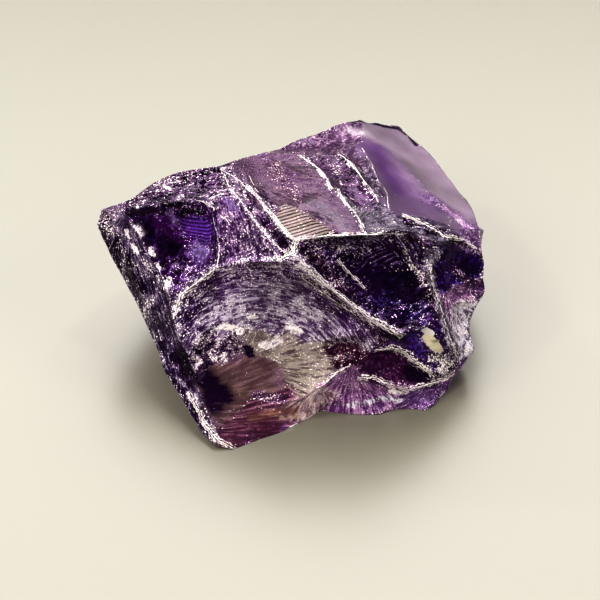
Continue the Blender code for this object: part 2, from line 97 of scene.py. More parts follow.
# Each scar: a place inside it, the place that its ripples spread from, and its finish. A place is a
# pixel of the view, or millimetres across, back and up where the view doesn't reach.
SCARS = {
    "tip_chip": ((106, 222), (112, 203), "crumbled"),
    "left_face": ((150, 290), (126, 214), "mottled"),
    "left_edge": ((122, 264), (100, 210), "streaked"),
    "brow_strip": ((170, 190), (118, 206), "speckled"),
    "blue_bowl": ((175, 245), (-10.3, 5.0, 27.0), "blue_depth"),
    "mauve_slope": ((236, 232), (228, 170), "rippled_mauve"),
    "speckled_strip": ((258, 215), (230, 150), "speckled_mauve"),
    # A painted reflection: a cream veil over real hatch ripples.
    "bright_panel": ((302, 225), (118.0, -252.0, -275.0), "hatched_painted_reflection"),
    "dusty_slope": ((285, 188), (250, 150), "dusty"),
    "fan_left": ((345, 182), (312, 130), "ribbed_mauve"),
    "fan_right": ((370, 180), (345, 130), "ribbed_grey"),
    "far_slope": ((330, 142), (300, 130), "far_mauve"),
    "smooth_slope": ((405, 188), (365, 130), "smooth_violet"),
    "far_rim": ((432, 176), (365, 120), "pale_violet"),
    "right_crest": ((466, 238), (405, 215), "crest"),
    "crest_strip": ((385, 224), (340, 240), "grey_hackle"),
    "bowl_crescent": ((415, 254), (23.1, -23.0, -6.9), "dark_ripple"),
    "dark_bowl": ((370, 275), (23.1, -23.0, -6.9), "black_depth"),
    "swoosh": ((270, 295), (262, 400), "lavender_ripple"),
    "window": ((412, 344), (400, 330), "blue_window"),
    "right_side": ((464, 262), (440, 236), "indigo"),
    "right_step": ((468, 293), (446, 290), "rough_mauve"),
    "right_foot": ((464, 325), (450, 300), "pale_crushed"),
    "pocket": ((395, 368), (380, 345), "maroon_pocket"),
    "front_slope": ((368, 398), (350, 365), "striated"),
    "foot_flake": ((414, 400), (425, 390), "thin_violet"),
    "ledge_wall": ((342, 356), (345, 335), "maroon_hackle"),
    # The shelf: a painted reflection in stripes, and mottled white with a painted highlight.
    "bright_shelf": ((298, 350), (236, 364), "striped_painted_reflection"),
    "white_shelf": ((222, 345), (240, 345), "mottled_white_highlight"),
    "brown_dip": ((262, 380), (-14.3, -15.4, 1.2), "brown_glow"),
    "pool": ((255, 418), (-17.1, -20.2, 2.5), "maroon_depth"),
    "wedge_chip": ((321, 397), (318, 385), "smoky_maroon"),
    "underside": ((2.1, -2.6, 0.0), (14.0, -12.0, 0.0), "striated"),
    "back_bowl": ((0.3, 14.1, 11.9), (-8.0, 11.0, 18.0), "rippled_mauve"),
    "back_brow": ((-10.3, 6.0, 14.8), (-3.0, 4.0, 18.5), "dusty"),
    "back_left": ((-7.1, 11.8, 4.8), (-14.0, 8.0, 11.0), "blue_depth"),
    "back_foot": ((3.2, 15.6, 3.9), (0.0, 15.0, 9.0), "ribbed_mauve"),
    "back_tip": ((-15.4, 6.4, 11.3), (-18.0, 3.0, 13.0), "mottled"),
    "back_right": ((10.1, 14.3, 3.4), (12.0, 18.0, 8.0), "ribbed_mauve"),
    "back_end": ((11.0, 18.3, 9.1), (12.0, 17.0, 12.0), "far_mauve"),
    "left_under": ((-13.7, -0.8, 4.5), (-19.0, -2.0, 12.0), "mottled"),
    "right_hollow": ((17.2, 5.7, 6.0), (18.0, 14.0, 14.0), "rippled_mauve"),
    "right_brow": ((18.4, 4.0, 8.6), (18.0, 14.0, 14.0), "speckled_mauve"),
    "right_rib": ((16.8, 12.5, 8.0), (18.0, 14.0, 14.0), "striated"),
    "right_chip": ((17.0, -9.0, 1.6), (19.0, -8.0, 4.0), "thin_violet"),
}
# What a finish gives the eye. The light from inside the clear quartz and the veil of tiny cracks
# on it each have a colour, and the veil's colour also holds a painted sheen of the lamps. Then come
# how even a haze the veil leaves, how much of the skin it covers, how many white flecks (partly
# painted glints) and dark pits (partly painted dark reflections) there are, how strong the ripples
# are, how hackly the break is, how wide a ripple is in millimetres, and how many grains a
# millimetre has along and across the blow.
FINISHES = {
    "crumbled": ("8858A8", "6C5664", 0.06, 0.27, 0.30, 0.86, 0.0, 0.9, 0.45, 1.6, 3.0),
    "mottled": ("7C58A4", "807084", 0.10, 0.51, 0.14, 0.42, 0.0, 0.8, 0.45, 0.6, 2.2),
    "streaked": ("604890", "7C6C78", 0.06, 0.34, 0.24, 0.82, 0.0, 0.5, 0.45, 0.35, 3.6),
    "speckled": ("8050A8", "7E6476", 0.08, 0.35, 0.23, 0.68, 0.0, 0.8, 0.45, 0.8, 3.0),
    "blue_depth": ("9048B8", "6C4890", 0.06, 0.38, 0.36, 0.18, 0.0, 0.25, 0.38, 1.6, 2.2),
    "blue_window": ("7848C0", "583090", 0.05, 0.46, 0.18, 0.10, 0.1, 0.2, 0.40, 2.6, 2.6),
    "rippled_mauve": ("9C70C0", "8C7088", 0.12, 0.50, 0.26, 0.40, 0.10, 0.5, 0.45, 0.9, 3.0),
    "speckled_mauve": ("9870C0", "806474", 0.12, 0.46, 0.24, 0.54, 0.0, 0.6, 0.45, 0.35, 3.6),
    # A painted reflection: a cream veil over real hatch ripples.
    "hatched_painted_reflection": ("3C2C2C", "988A82", 0.20, 1.12, 0.10, 0.00, 1.0, 0.1, 0.33, 4.0, 0.6),
    "dusty": ("8C6C8C", "604852", 0.30, 0.57, 0.00, 0.24, 0.0, 0.2, 0.45, 0.6, 3.2),
    "pale": ("8A7C8C", "645C62", 0.45, 0.58, -0.05, 0.10, 0.0, 0.1, 0.45, 0.4, 3.0),
    "pale_crushed": ("E0D0F4", "E6DEEA", 0.26, 0.70, 0.36, 0.40, 0.0, 0.7, 0.45, 0.8, 2.4),
    "ribbed_mauve": ("7C5490", "6A4A62", 0.14, 0.48, 0.10, 0.46, 0.0, 0.25, 0.45, 0.35, 3.4),
    "ribbed_grey": ("806890", "746674", 0.20, 0.52, 0.14, 0.38, 0.0, 0.2, 0.45, 0.35, 4.0),
    "smooth_violet": ("886C98", "684C70", 0.90, -0.10, -0.8, -0.8, 0.0, 0.0, 0.45, 0.2, 0.3),
    "pale_violet": ("B8A6BA", "968696", 0.90, -0.10, -0.8, -0.8, 0.0, 0.0, 0.45, 0.2, 0.3),
    "grey_hackle": ("9088A0", "6C6870", 0.30, 0.54, -0.06, 0.34, 0.0, 0.6, 0.45, 0.6, 3.4),
    "dark_ripple": ("6840A0", "6A5080", 0.04, 0.36, 0.28, 0.44, 0.0, 0.7, 0.50, 0.5, 3.4),
    "black_depth": ("583890", "7C5C90", 0.03, 0.34, 0.30, 0.24, 0.0, 0.4, 0.46, 2.4, 0.8),
    "lavender_ripple": ("84589C", "C2BAC4", 0.32, 0.74, 0.38, 0.18, 0.0, 0.28, 0.70, 3.4, 0.8),
    "indigo": ("5820B0", "44207C", 0.06, 0.26, 0.06, 0.20, 0.0, 0.3, 0.45, 2.0, 2.0),
    "maroon_depth": ("A06880", "A07086", 0.20, 0.52, 0.04, 0.06, 0.0, 0.1, 0.45, 0.3, 3.2),
    "maroon_pocket": ("905090", "54244E", 0.08, 0.35, 0.10, 0.24, 0.0, 0.4, 0.50, 1.4, 2.4),
    "striated": ("C088D8", "AC80A0", 0.22, 0.62, 0.24, 0.20, 0.0, 0.4, 0.45, 0.45, 3.4),
    "thin_violet": ("D0A0F0", "8A60A0", 0.20, 0.40, 0.24, 0.20, 0.0, 0.5, 0.45, 1.0, 2.4),
    "smoky": ("D8C0C8", "B09CA0", 0.55, 0.75, 0.10, 0.06, 0.0, 0.2, 0.45, 0.8, 1.4),
    "maroon_hackle": ("884868", "643C54", 0.08, 0.34, 0.00, 0.48, 0.0, 0.8, 0.50, 1.0, 2.6),
    # A painted reflection in stripes.
    "striped_painted_reflection": ("A89890", "988E84", 0.36, 0.76, 0.14, 0.22, 0.0, 0.4, 0.55, 0.45, 3.6),
    # Mottled white with a painted highlight.
    "mottled_white_highlight": ("B8A0CC", "B09CA0", 0.14, 0.42, 0.40, 0.56, 0.0, 0.9, 0.45, 1.1, 1.5),
    "brown_glow": ("987C74", "745860", 0.46, 0.56, -0.05, 0.26, 0.0, 0.1, 0.45, 0.3, 2.6),
    "grey_strip": ("9088A0", "948C98", 0.20, 0.62, 0.16, 0.30, 0.0, 0.4, 0.45, 1.6, 1.6),
    "maroon_sparkle": ("A068A0", "80547C", 0.12, 0.42, 0.26, 0.26, 0.0, 0.6, 0.45, 2.0, 2.4),
    # Black painted for the shade inside holes and slits.
    "black_pit_shade": ("201030", "100814", 0.30, 0.05, 0.00, 1.2, 0.0, 0.8, 0.45, 2.0, 2.0),
    # Crushed white that also stands for painted glints.
    "white_crush_and_glint": ("F0E4F0", "F0E6E4", 0.40, 0.85, 0.62, 0.0, 0.0, 0.6, 0.45, 2.0, 2.0),
    # Painted shade, dark violet: the hollows of the bowls and the rim.
    "dark_shade_glass": ("503888", "281840", 0.05, 0.05, 0.00, 0.30, 0.0, 0.1, 0.45, 2.0, 2.0),
    # Painted shade, near black: notches, recesses and the pool.
    "black_shade_glass": ("100818", "08040C", 0.50, 0.00, -0.6, 0.80, 0.0, 0.0, 0.45, 2.0, 2.0),
    "violet_glow": ("B090D8", "8670A4", 0.40, 0.55, 0.20, 0.00, 0.0, 0.2, 0.45, 2.0, 2.0),
    # Painted glow colours, for light coming through from below.
    "magenta_painted_glow": ("885068", "643C58", 0.30, 0.30, 0.00, 0.00, 0.0, 0.1, 0.45, 0.6, 2.4),
    "amber_painted_glow": ("B08070", "8C6858", 0.45, 0.60, 0.00, 0.00, 0.0, 0.1, 0.45, 0.6, 2.4),
    # A cream painted reflection.
    "cream_painted_reflection": ("F8F0D8", "F0E6C4", 0.90, 1.20, 0.20, -0.30, 0.0, 0.0, 0.45, 2.0, 2.0),
    "violet_stripe": ("A060F0", "5A3090", 0.20, 0.50, 0.20, 0.10, 0.9, 0.12, 0.37, 2.6, 2.6),
    "violet_depth": ("7C5494", "58386C", 0.86, -0.10, -0.8, -0.8, 0.0, 0.0, 0.45, 0.2, 0.3),
    "violet_speckle": ("B080D0", "9A7498", 0.40, 0.50, 0.30, 0.10, 0.0, 0.5, 0.45, 1.0, 2.6),
    "maroon_speckle": ("805078", "583848", 0.35, 0.50, 0.30, 0.45, 0.0, 0.6, 0.45, 1.0, 2.6),
    "cream_streak": ("F0D8C0", "D8C0A8", 0.50, 0.80, 0.20, 0.00, 0.0, 0.1, 0.45, 0.6, 2.4),
    "dark_arcs": ("583890", "8C6898", 0.03, 0.26, 0.20, 0.20, 0.8, 0.2, 0.46, 2.6, 0.8),
    "white_speckle": ("706080", "B0A4AC", 0.10, 0.50, 0.75, 0.40, 0.0, 0.9, 0.45, 2.0, 2.0),
    "rough_mauve": ("A870C0", "A07494", 0.20, 0.55, 0.22, 0.36, 0.0, 0.4, 0.45, 0.5, 3.0),
    "crest": ("5820A0", "786080", 0.00, 0.24, 0.22, 0.92, 0.0, 0.9, 0.45, 0.8, 2.6),
    "crumb_band": ("9080A0", "A898A4", 0.10, 0.42, 0.74, 0.62, 0.0, 0.9, 0.45, 2.0, 2.6),
    "dark_sparkle": ("704480", "64445F", 0.08, 0.34, 0.20, 0.42, 0.0, 0.7, 0.45, 0.8, 3.6),
    # A pale painted highlight.
    "soft_painted_highlight": ("E0D0E0", "CCBCCC", 0.70, 0.62, 0.10, 0.00, 0.0, 0.2, 0.45, 1.0, 1.6),
    "smoky_maroon": ("C8A0AC", "DEC6C6", 0.40, 0.72, 0.20, 0.06, 0.0, 0.3, 0.45, 0.7, 3.0),
    "far_mauve": ("8C6498", "907288", 0.32, 0.46, 0.06, 0.40, 0.0, 0.35, 0.45, 1.0, 2.6),
    "lavender_dots": ("8448AC", "A892B2", 0.24, 0.58, 0.52, 0.24, 0.0, 0.42, 0.70, 3.4, 1.1),
    "maroon_dots": ("703880", "6A3C68", 0.05, 0.38, 0.36, 0.26, 0.0, 0.6, 0.45, 1.6, 2.4),
    "keel_violet": ("784898", "806A88", 0.20, 0.46, 0.30, 0.26, 0.0, 0.5, 0.70, 3.4, 0.9),
    "dark_crumbs": ("6A3C78", "907890", 0.05, 0.36, 0.56, 0.66, 0.0, 0.9, 0.45, 2.2, 2.6),
    "blue_speckle": ("4830A0", "483C74", 0.10, 0.24, 0.04, 0.50, 0.0, 0.5, 0.45, 1.4, 2.6),
    # A white painted reflection.
    "white_painted_reflection": ("FFF8F4", "FFFAF6", 0.90, 1.20, 0.70, -0.50, 0.0, 0.0, 0.45, 2.0, 2.0),
    "blue_glass": ("6844B8", "48308C", 0.20, 0.60, 0.06, 0.00, 0.0, 0.2, 0.45, 2.0, 2.0),
    "violet_dots": ("9450BC", "8C6C9C", 0.22, 0.52, 0.56, 0.20, 0.0, 0.50, 0.60, 3.0, 1.4),
    "swoosh_violet": ("6C3C90", "74607C", 0.12, 0.42, 0.36, 0.40, 0.0, 0.6, 0.70, 3.2, 1.2),
    "rust": ("C08050", "B07848", 0.70, 0.80, 0.00, 0.10, 0.0, 0.1, 0.45, 2.0, 2.0),
}
RIPPLE = 6
HACKLE = 7
RIDGE_ANGLE = math.radians(22.0)
SUBDIVISIONS = 2
WELD = 0.0001 * MM

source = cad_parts["rough_amethyst"]
coarse = bmesh.new()
coarse.from_mesh(source.data)
bmesh.ops.remove_doubles(coarse, verts=coarse.verts, dist=WELD)
coarse.faces.ensure_lookup_table()
skin_tree = BVHTree.FromBMesh(coarse)


def on_skin(spot):
    """The place on the skin, and its face's number, at a pixel of the view or a place in mm."""
    if len(spot) == 2:
        place, _, face, _ = skin_tree.ray_cast(eye, sight(spot))
        if place is not None:
            return place, face
        spot = (eye + sight(spot) * VIEW_DISTANCE) / MM
    place, _, face, _ = skin_tree.find_nearest(Vector(spot) * MM)
    return place, face


def scar_numbers(skin, seeds):
    """A number for each face: that of the seed it is reached from with the least turning."""
    number = [-1] * len(skin.faces)
    queue = [(0.0, seed, order) for order, seed in enumerate(seeds)]
    heapq.heapify(queue)
    while queue:
        cost, index, order = heapq.heappop(queue)
        if number[index] >= 0:
            continue
        number[index] = order
        face = skin.faces[index]
        for edge in face.edges:
            for other in edge.link_faces:
                if number[other.index] < 0:
                    turn = math.degrees(edge.calc_face_angle(0.0))
                    step = (other.calc_center_median() - face.calc_center_median()).length / MM
                    heapq.heappush(queue, (cost + turn * turn + step, other.index, order))
    return number


# A ridge is sharp, but not one between two smooth scars, whose finish has no hackle.
scar_faces = scar_numbers(coarse, [on_skin(inside)[1] for inside, _, _ in SCARS.values()])
scar_of = coarse.faces.layers.int.new("scar")
crease_of = coarse.edges.layers.float.new("crease_edge")
for face, number in zip(coarse.faces, scar_faces):
    face[scar_of] = number
smooth = [FINISHES[finish][HACKLE] == 0.0 for _, _, finish in SCARS.values()]
for edge in coarse.edges:
    sides = {face[scar_of] for face in edge.link_faces}
    sharp = len(sides) > 1 or edge.calc_face_angle(0.0) > RIDGE_ANGLE
    if sharp and not all(smooth[side] for side in sides):
        edge[crease_of] = 1.0
mesh = bpy.data.meshes.new("rough_amethyst_skin")
coarse.to_mesh(mesh)
stone = bpy.data.objects.new("rough_amethyst_skin", mesh)
bpy.context.scene.collection.objects.link(stone)
smoothing = stone.modifiers.new("fine", "SUBSURF")
smoothing.levels = SUBDIVISIONS
smoothing.render_levels = SUBDIVISIONS
graph = bpy.context.evaluated_depsgraph_get()
fine = bpy.data.meshes.new_from_object(stone.evaluated_get(graph))
stone.modifiers.clear()
stone.data = fine
fine.shade_smooth()


def read(collection, name, kind, size):
    """A value of each element, one row for each."""
    values = np.empty(len(collection) * size, kind)
    collection.foreach_get(name, values)
    return values.reshape(-1, size) if size > 1 else values


def eased(values):
    """The values held between 0 and 1, and eased at both ends."""
    held = np.clip(values, 0.0, 1.0)
    return held * held * (3.0 - 2.0 * held)


def between(least, share):
    """From the least to 1, as the share goes from 0 to 1."""
    return least + (1.0 - least) * share


def nearer_mean(values, joined, count):
    """Each vertex's row, moved halfway to the mean of the vertices that it is joined to."""
    sums = [np.bincount(joined[:, 0], part[joined[:, 1]], len(values)) for part in values.T]
    return 0.5 * values + 0.5 * np.stack(sums, axis=1) / np.maximum(count, 1)[:, None]


def distance_to(places, reach):
    """For each vertex, how far it is from the nearest of these places, or the reach if further."""
    tree = KDTree(len(places))
    for index, spot in enumerate(places):
        tree.insert(spot, index)
    tree.balance()
    return np.array([min(reach, tree.find(spot)[2]) for spot in place])


def clouds(size, seed):
    """A smooth random value for each vertex, about -1 to 1, in lumps of this size in mm."""
    offset = Vector((seed * 7.3, seed * 3.1, seed * 5.7))
    return np.array([noise.noise(Vector(spot) / size + offset) for spot in place])


# The scar of each corner and vertex, and the vertices on the border between two scars.
place = read(fine.vertices, "co", np.float64, 3) / MM
outward = read(fine.vertices, "normal", np.float64, 3)
corner_vert = read(fine.loops, "vertex_index", np.int64, 1)
face_scar = read(fine.attributes["scar"].data, "value", np.int64, 1)
face_size = read(fine.polygons, "loop_total", np.int64, 1)
corner_scar = np.repeat(face_scar, face_size)
vert_scar = np.zeros(len(place), np.int64)
vert_scar[corner_vert] = corner_scar
lowest = np.full(len(place), len(SCARS))
highest = np.full(len(place), -1)
np.minimum.at(lowest, corner_vert, corner_scar)
np.maximum.at(highest, corner_vert, corner_scar)
border = np.flatnonzero(lowest != highest)

# The smooth scars roll into each other: their vertices are drawn to the mean of their neighbours.
ROUNDING = 60
ends = read(fine.edges, "vertices", np.int64, 2)
both = np.concatenate([ends, ends[:, ::-1]])
degree = np.bincount(both[:, 0], minlength=len(place))
hazy = np.array(smooth)[vert_scar]
hazy_ends = both[hazy[both].all(axis=1)]
hazy_degree = np.bincount(hazy_ends[:, 0], minlength=len(place))
hazy_inside = hazy & (hazy_degree == degree)
for _ in range(ROUNDING):
    place[hazy_inside] = nearer_mean(place, both, degree)[hazy_inside]

# The relief, in millimetres: ripples round the origin of each scar's blow, rolling lumps, and the
# small splinters of a hackly break. All of it is lower near a ridge.
FADE = 1.2
RIPPLE_LENGTH = 1.3
RIPPLE_HEIGHT = 0.045
RIPPLE_SHIFT = 0.5
SHIFT_SIZE = 3.0
RIPPLE_LEAST = 0.1
RIPPLE_GAIN = 1.8
LUMPS = ((4.0, 0.24), (1.9, 0.13), (0.9, 0.05))
LUMPS_LEAST = 0.3
LUMPS_AT_RIDGE = 0.25
SPLINTERS = ((0.8, 0.10), (0.5, 0.06))
SPLINTERS_AT_RIDGE = 0.3
SPLINTER_CREST = 0.25

to_border = distance_to(place[border], FADE)
inside = eased(to_border / FADE)
origins = np.array(
    [
        on_skin(origin)[0] / MM if len(origin) == 2 else Vector(origin)
        for _, origin, _ in SCARS.values()
    ]
)
ripply = np.array([FINISHES[finish][RIPPLE] for _, _, finish in SCARS.values()])[vert_scar]
hackly = np.array([FINISHES[finish][HACKLE] for _, _, finish in SCARS.values()])[vert_scar]
vert_arc = np.linalg.norm(place - origins[vert_scar], axis=1)
shift = clouds(SHIFT_SIZE, 1) * RIPPLE_SHIFT
heights = RIPPLE_HEIGHT * np.sin(2.0 * math.pi * (vert_arc + shift) / RIPPLE_LENGTH) * inside
heights *= RIPPLE_LEAST + RIPPLE_GAIN * ripply
rolling = between(LUMPS_LEAST, np.minimum(1.0, 2.0 * hackly))
for seed, (size, height) in enumerate(LUMPS):
    heights += clouds(size, seed + 2) * height * rolling * between(LUMPS_AT_RIDGE, inside)
splintered = hackly * between(SPLINTERS_AT_RIDGE, inside)
for seed, (size, height) in enumerate(SPLINTERS):
    heights += (SPLINTER_CREST - np.abs(clouds(size, seed + 5))) * height * splintered
place += outward * heights[:, None]
place = np.clip(place, np.array(cad_box[0]) / MM, np.array(cad_box[1]) / MM)
fine.vertices.foreach_set("co", (place * MM).ravel())
fine.update()


# The quartz
# Amethyst is clear quartz, violet from a little iron. It is glassy, and nearly black where it is
# thick. Its broken skin has fine ripples, a veil of tiny cracks whose colour also holds a painted
# sheen, and white crushed edges and flecks, the flecks partly painted glints.

# Spots inside the scars that have a finish of their own: the finish, the line that each follows in
# the view, half its width in millimetres, and how soft its border is, from 0 to 1. Some of them are
# painted shade, highlights, reflections and glow, as noted beside them.
SPOTS = {
    # Holes painted black for the shade inside them.
    "brow_pit": ("black_pit_shade", [(169, 204), (179, 203)], 0.40, 0.1),
    "bowl_shade": ("black_pit_shade", [(182, 214), (192, 210), (203, 213)], 0.35, 0.2),
    # Painted shade in the blue bowl's hollow.
    "bowl_upper_left_shade": ("dark_shade_glass", [(130, 214), (148, 210)], 0.5, 0.3),
    "bowl_left_shade": ("dark_shade_glass", [(147, 222), (149, 238)], 0.7, 0.3),
    "bowl_low_shade": ("dark_shade_glass", [(164, 246), (174, 250)], 0.8, 0.8),
    "bowl_glow": ("violet_stripe", [(192, 224), (204, 228), (208, 234)], 1.1, 0.8),
    "bowl_glow_low": ("violet_glow", [(198, 250), (206, 256)], 0.9, 1.0),
    "bowl_glow_top": ("violet_glow", [(170, 214), (176, 222)], 0.45, 0.5),
    # Painted shade, black.
    "face_shade": ("black_pit_shade", [(127, 258), (131, 272), (139, 288)], 0.45, 0.2),
    # White crushed flecks on the left face, partly painted glints.
    "face_fleck_1": ("white_crush_and_glint", [(138, 228), (142, 234)], 0.38, 0.0),
    "face_fleck_2": ("white_crush_and_glint", [(134, 247), (137, 252)], 0.36, 0.0),
    "face_fleck_3": ("white_crush_and_glint", [(150, 250), (153, 255)], 0.28, 0.0),
    "face_fleck_4": ("white_crush_and_glint", [(170, 279), (166, 286)], 0.30, 0.0),
    "face_fleck_5": ("white_crush_and_glint", [(137, 207), (139, 213)], 0.22, 0.0),
    "face_fleck_6": ("white_crush_and_glint", [(126, 230), (128, 237)], 0.2, 0.0),
    "face_fleck_7": ("white_crush_and_glint", [(157, 264), (159, 268)], 0.2, 0.0),
    "brow_fleck": ("white_crush_and_glint", [(164, 186), (170, 189)], 0.18, 0.0),
    "dusty_speckle": ("maroon_speckle", [(274, 166), (280, 178), (290, 190), (304, 200)], 0.7, 0.8),
    "dusty_gleam": ("pale", [(291, 165), (300, 168)], 0.30, 0.7),
    "sliver": ("pale", [(308, 200), (322, 209), (336, 218), (347, 227)], 0.75, 0.4),
    "slope_depth": ("violet_depth", [(377, 150), (386, 172), (396, 190)], 1.1, 1.0),
    "rim_speckle": ("violet_speckle", [(436, 200), (452, 214), (466, 226), (478, 240)], 1.2, 1.0),
    "rim_speckle_low": ("violet_speckle", [(478, 236), (484, 250)], 1.6, 0.6),
    "bowl_arcs": ("dark_arcs", [(368, 260), (380, 257), (392, 260)], 0.9, 0.5),
    # Painted shade in the dark bowl's hollow.
    "bowl_core_shade": ("dark_shade_glass", [(378, 278), (392, 286), (404, 282)], 1.6, 1.0),
    # A painted highlight: the glassy gleam in the bowl.
    "bowl_gleam": ("blue_depth", [(411, 258), (416, 264)], 0.35, 0.5),
    # A slit painted black for the shade inside it.
    "slit": ("black_pit_shade", [(416, 308), (420, 320)], 0.26, 0.1),
    "slit_side": ("blue_depth", [(426, 309), (433, 322)], 0.3, 0.2),
    "window_crumbs": ("white_speckle", [(434, 353), (442, 360), (448, 367)], 0.8, 0.6),
    # A notch and a niche painted black for their shade.
    "window_notch_shade": ("black_shade_glass", [(434, 342), (438, 340)], 0.13, 0.0),
    "niche_shade": ("black_shade_glass", [(384, 334), (394, 336), (404, 341)], 0.45, 0.3),
    "niche_stripe": ("violet_glow", [(388, 343), (402, 345)], 0.2, 0.5),
    "window_depth": ("blue_glass", [(410, 334), (414, 342), (421, 352)], 0.5, 0.9),
    "pocket_shade": ("black_shade_glass", [(410, 372), (422, 376), (430, 381)], 0.8, 0.4),
    # White crushed spots, partly painted glints.
    "heel_white": ("white_crush_and_glint", [(391, 391), (405, 393)], 0.30, 0.3),
    "heel_right": ("white_crush_and_glint", [(438, 370), (444, 371)], 0.35, 0.1),
    "front_white": ("pale_crushed", [(346, 405), (366, 402), (384, 398), (400, 400)], 0.3, 0.7),
    # A hole painted black for its shade.
    "shelf_pit": ("black_pit_shade", [(247, 348), (251, 355)], 0.40, 0.3),
    # White crushed spots on the shelf, partly painted highlight.
    "shelf_white_1": ("white_crush_and_glint", [(222, 326), (232, 327), (240, 331)], 0.4, 0.3),
    "shelf_white_2": ("white_crush_and_glint", [(248, 316), (256, 317)], 0.28, 0.0),
    "shelf_white_3": ("white_crush_and_glint", [(262, 345), (270, 345), (278, 341)], 0.4, 0.6),
    "shelf_white_4": ("white_crush_and_glint", [(288, 326), (300, 331)], 0.3, 0.5),
    # Painted glow of light coming up through the pool from below.
    "pool_painted_glow": ("magenta_painted_glow", [(236, 442), (256, 437), (276, 430)], 0.7, 1.0),
    "pool_painted_amber": ("amber_painted_glow", [(250, 418), (272, 413), (296, 411)], 0.45, 1.0),
    "pool_cream": ("cream_streak", [(280, 418), (290, 416), (300, 417)], 0.20, 0.5),
    "pool_sparkle": ("maroon_sparkle", [(256, 395), (270, 399), (284, 399)], 0.45, 0.6),
    "keel_rust": ("rust", [(338, 287), (348, 291)], 0.12, 0.2),
    "rim_shade": (
        "dark_shade_glass", [(352, 121), (360, 121), (371, 122), (383, 126), (399, 129), (409, 136),
        (416, 145)], 0.24, 0.8,
    ),
    # A painted highlight, blurred, on the far top.
    "far_painted_highlight": ("soft_painted_highlight", [(354, 131), (367, 133)], 0.7, 1.0),
    "fan_shade": ("dark_sparkle", [(318, 158), (332, 166), (342, 186)], 0.5, 0.8),
    "slope_glow": ("violet_glow", [(226, 201), (234, 208)], 0.4, 0.9),
    "pool_shade": ("black_shade_glass", [(205, 378), (212, 388), (222, 396)], 1.0, 0.8),
    "pool_shade_low": ("black_shade_glass", [(209, 396), (215, 408)], 0.7, 1.0),
    "strip_dark": ("dark_sparkle", [(258, 185), (266, 198), (274, 210)], 0.45, 0.5),
    "strip_band": ("dark_sparkle", [(263, 220), (276, 235), (287, 247)], 0.45, 0.5),
    "fan_crumbs": ("crumb_band", [(318, 168), (326, 177), (331, 187)], 0.26, 0.1),
    "hub_crumbs": ("crumb_band", [(295, 241), (294, 251), (286, 256), (278, 259)], 0.22, 0.1),
    "heel_crumbs": ("crumb_band", [(436, 377), (446, 374), (452, 371)], 0.35, 0.2),
    "shin_crumbs": ("dark_crumbs", [(188, 392), (196, 404), (206, 424), (219, 439)], 0.22, 0.2),
    "swoosh_dots": ("lavender_dots", [(222, 284), (246, 274), (272, 270), (296, 274)], 1.3, 0.8),
    "bowl_maroon": ("maroon_dots", [(308, 252), (322, 266), (338, 286)], 1.0, 1.0),
    # A hole painted black for the shade inside it.
    "left_pit": ("black_pit_shade", [(182, 355), (187, 366)], 1.0, 0.1),
    # A painted reflection of the lamp, cream with a white top.
    "window_painted_reflection": ("cream_painted_reflection", [(428, 337), (433, 343), (438, 350)], 0.64, 0.0),
    "window_painted_reflection_top": ("white_painted_reflection", [(425, 330), (431, 333)], 0.42, 0.0),
    "step_crumbs": (
        "crumb_band", [(390, 349), (403, 352), (412, 359), (422, 366), (432, 374)], 0.36, 0.1,
    ),
    "crest_dark": (
        "crest", [(408, 222), (424, 227), (440, 233), (456, 239), (470, 247)], 0.62, 0.3,
    ),
    "swoosh_end": ("maroon_dots", [(364, 324), (376, 334), (384, 343)], 0.6, 0.9),
    "keel_shade": ("keel_violet", [(312, 292), (340, 313), (366, 331)], 0.9, 1.0),
    "keel_crumbs": ("dark_crumbs", [(300, 272), (320, 288), (342, 305), (362, 320)], 0.42, 0.3),
    "bowl_low_dots": ("blue_speckle", [(384, 302), (402, 309), (420, 314)], 1.0, 0.9),
    "crescent_crumbs": ("dark_crumbs", [(405, 254), (414, 266), (423, 282), (430, 299)], 0.5, 0.7),
    "crest_low": ("dark_sparkle", [(408, 236), (420, 240), (431, 247)], 0.6, 0.6),
    "side_depth": ("indigo", [(450, 250), (462, 254), (474, 262)], 0.8, 0.6),
    "swoosh_top": ("violet_dots", [(226, 271), (246, 265), (272, 264), (294, 269)], 0.8, 0.9),
    "swoosh_left": ("swoosh_violet", [(185, 326), (188, 308), (196, 293), (211, 281)], 1.6, 1.0),
    "side_dots": ("maroon_dots", [(452, 267), (460, 275), (468, 282)], 0.6, 0.8),
    "wedge_glass": ("smoky", [(317, 398), (324, 390)], 0.5, 0.6),
    "strip_step": ("grey_strip", [(430, 250), (432, 285), (444, 320), (458, 358)], 0.6, 0.3),
}
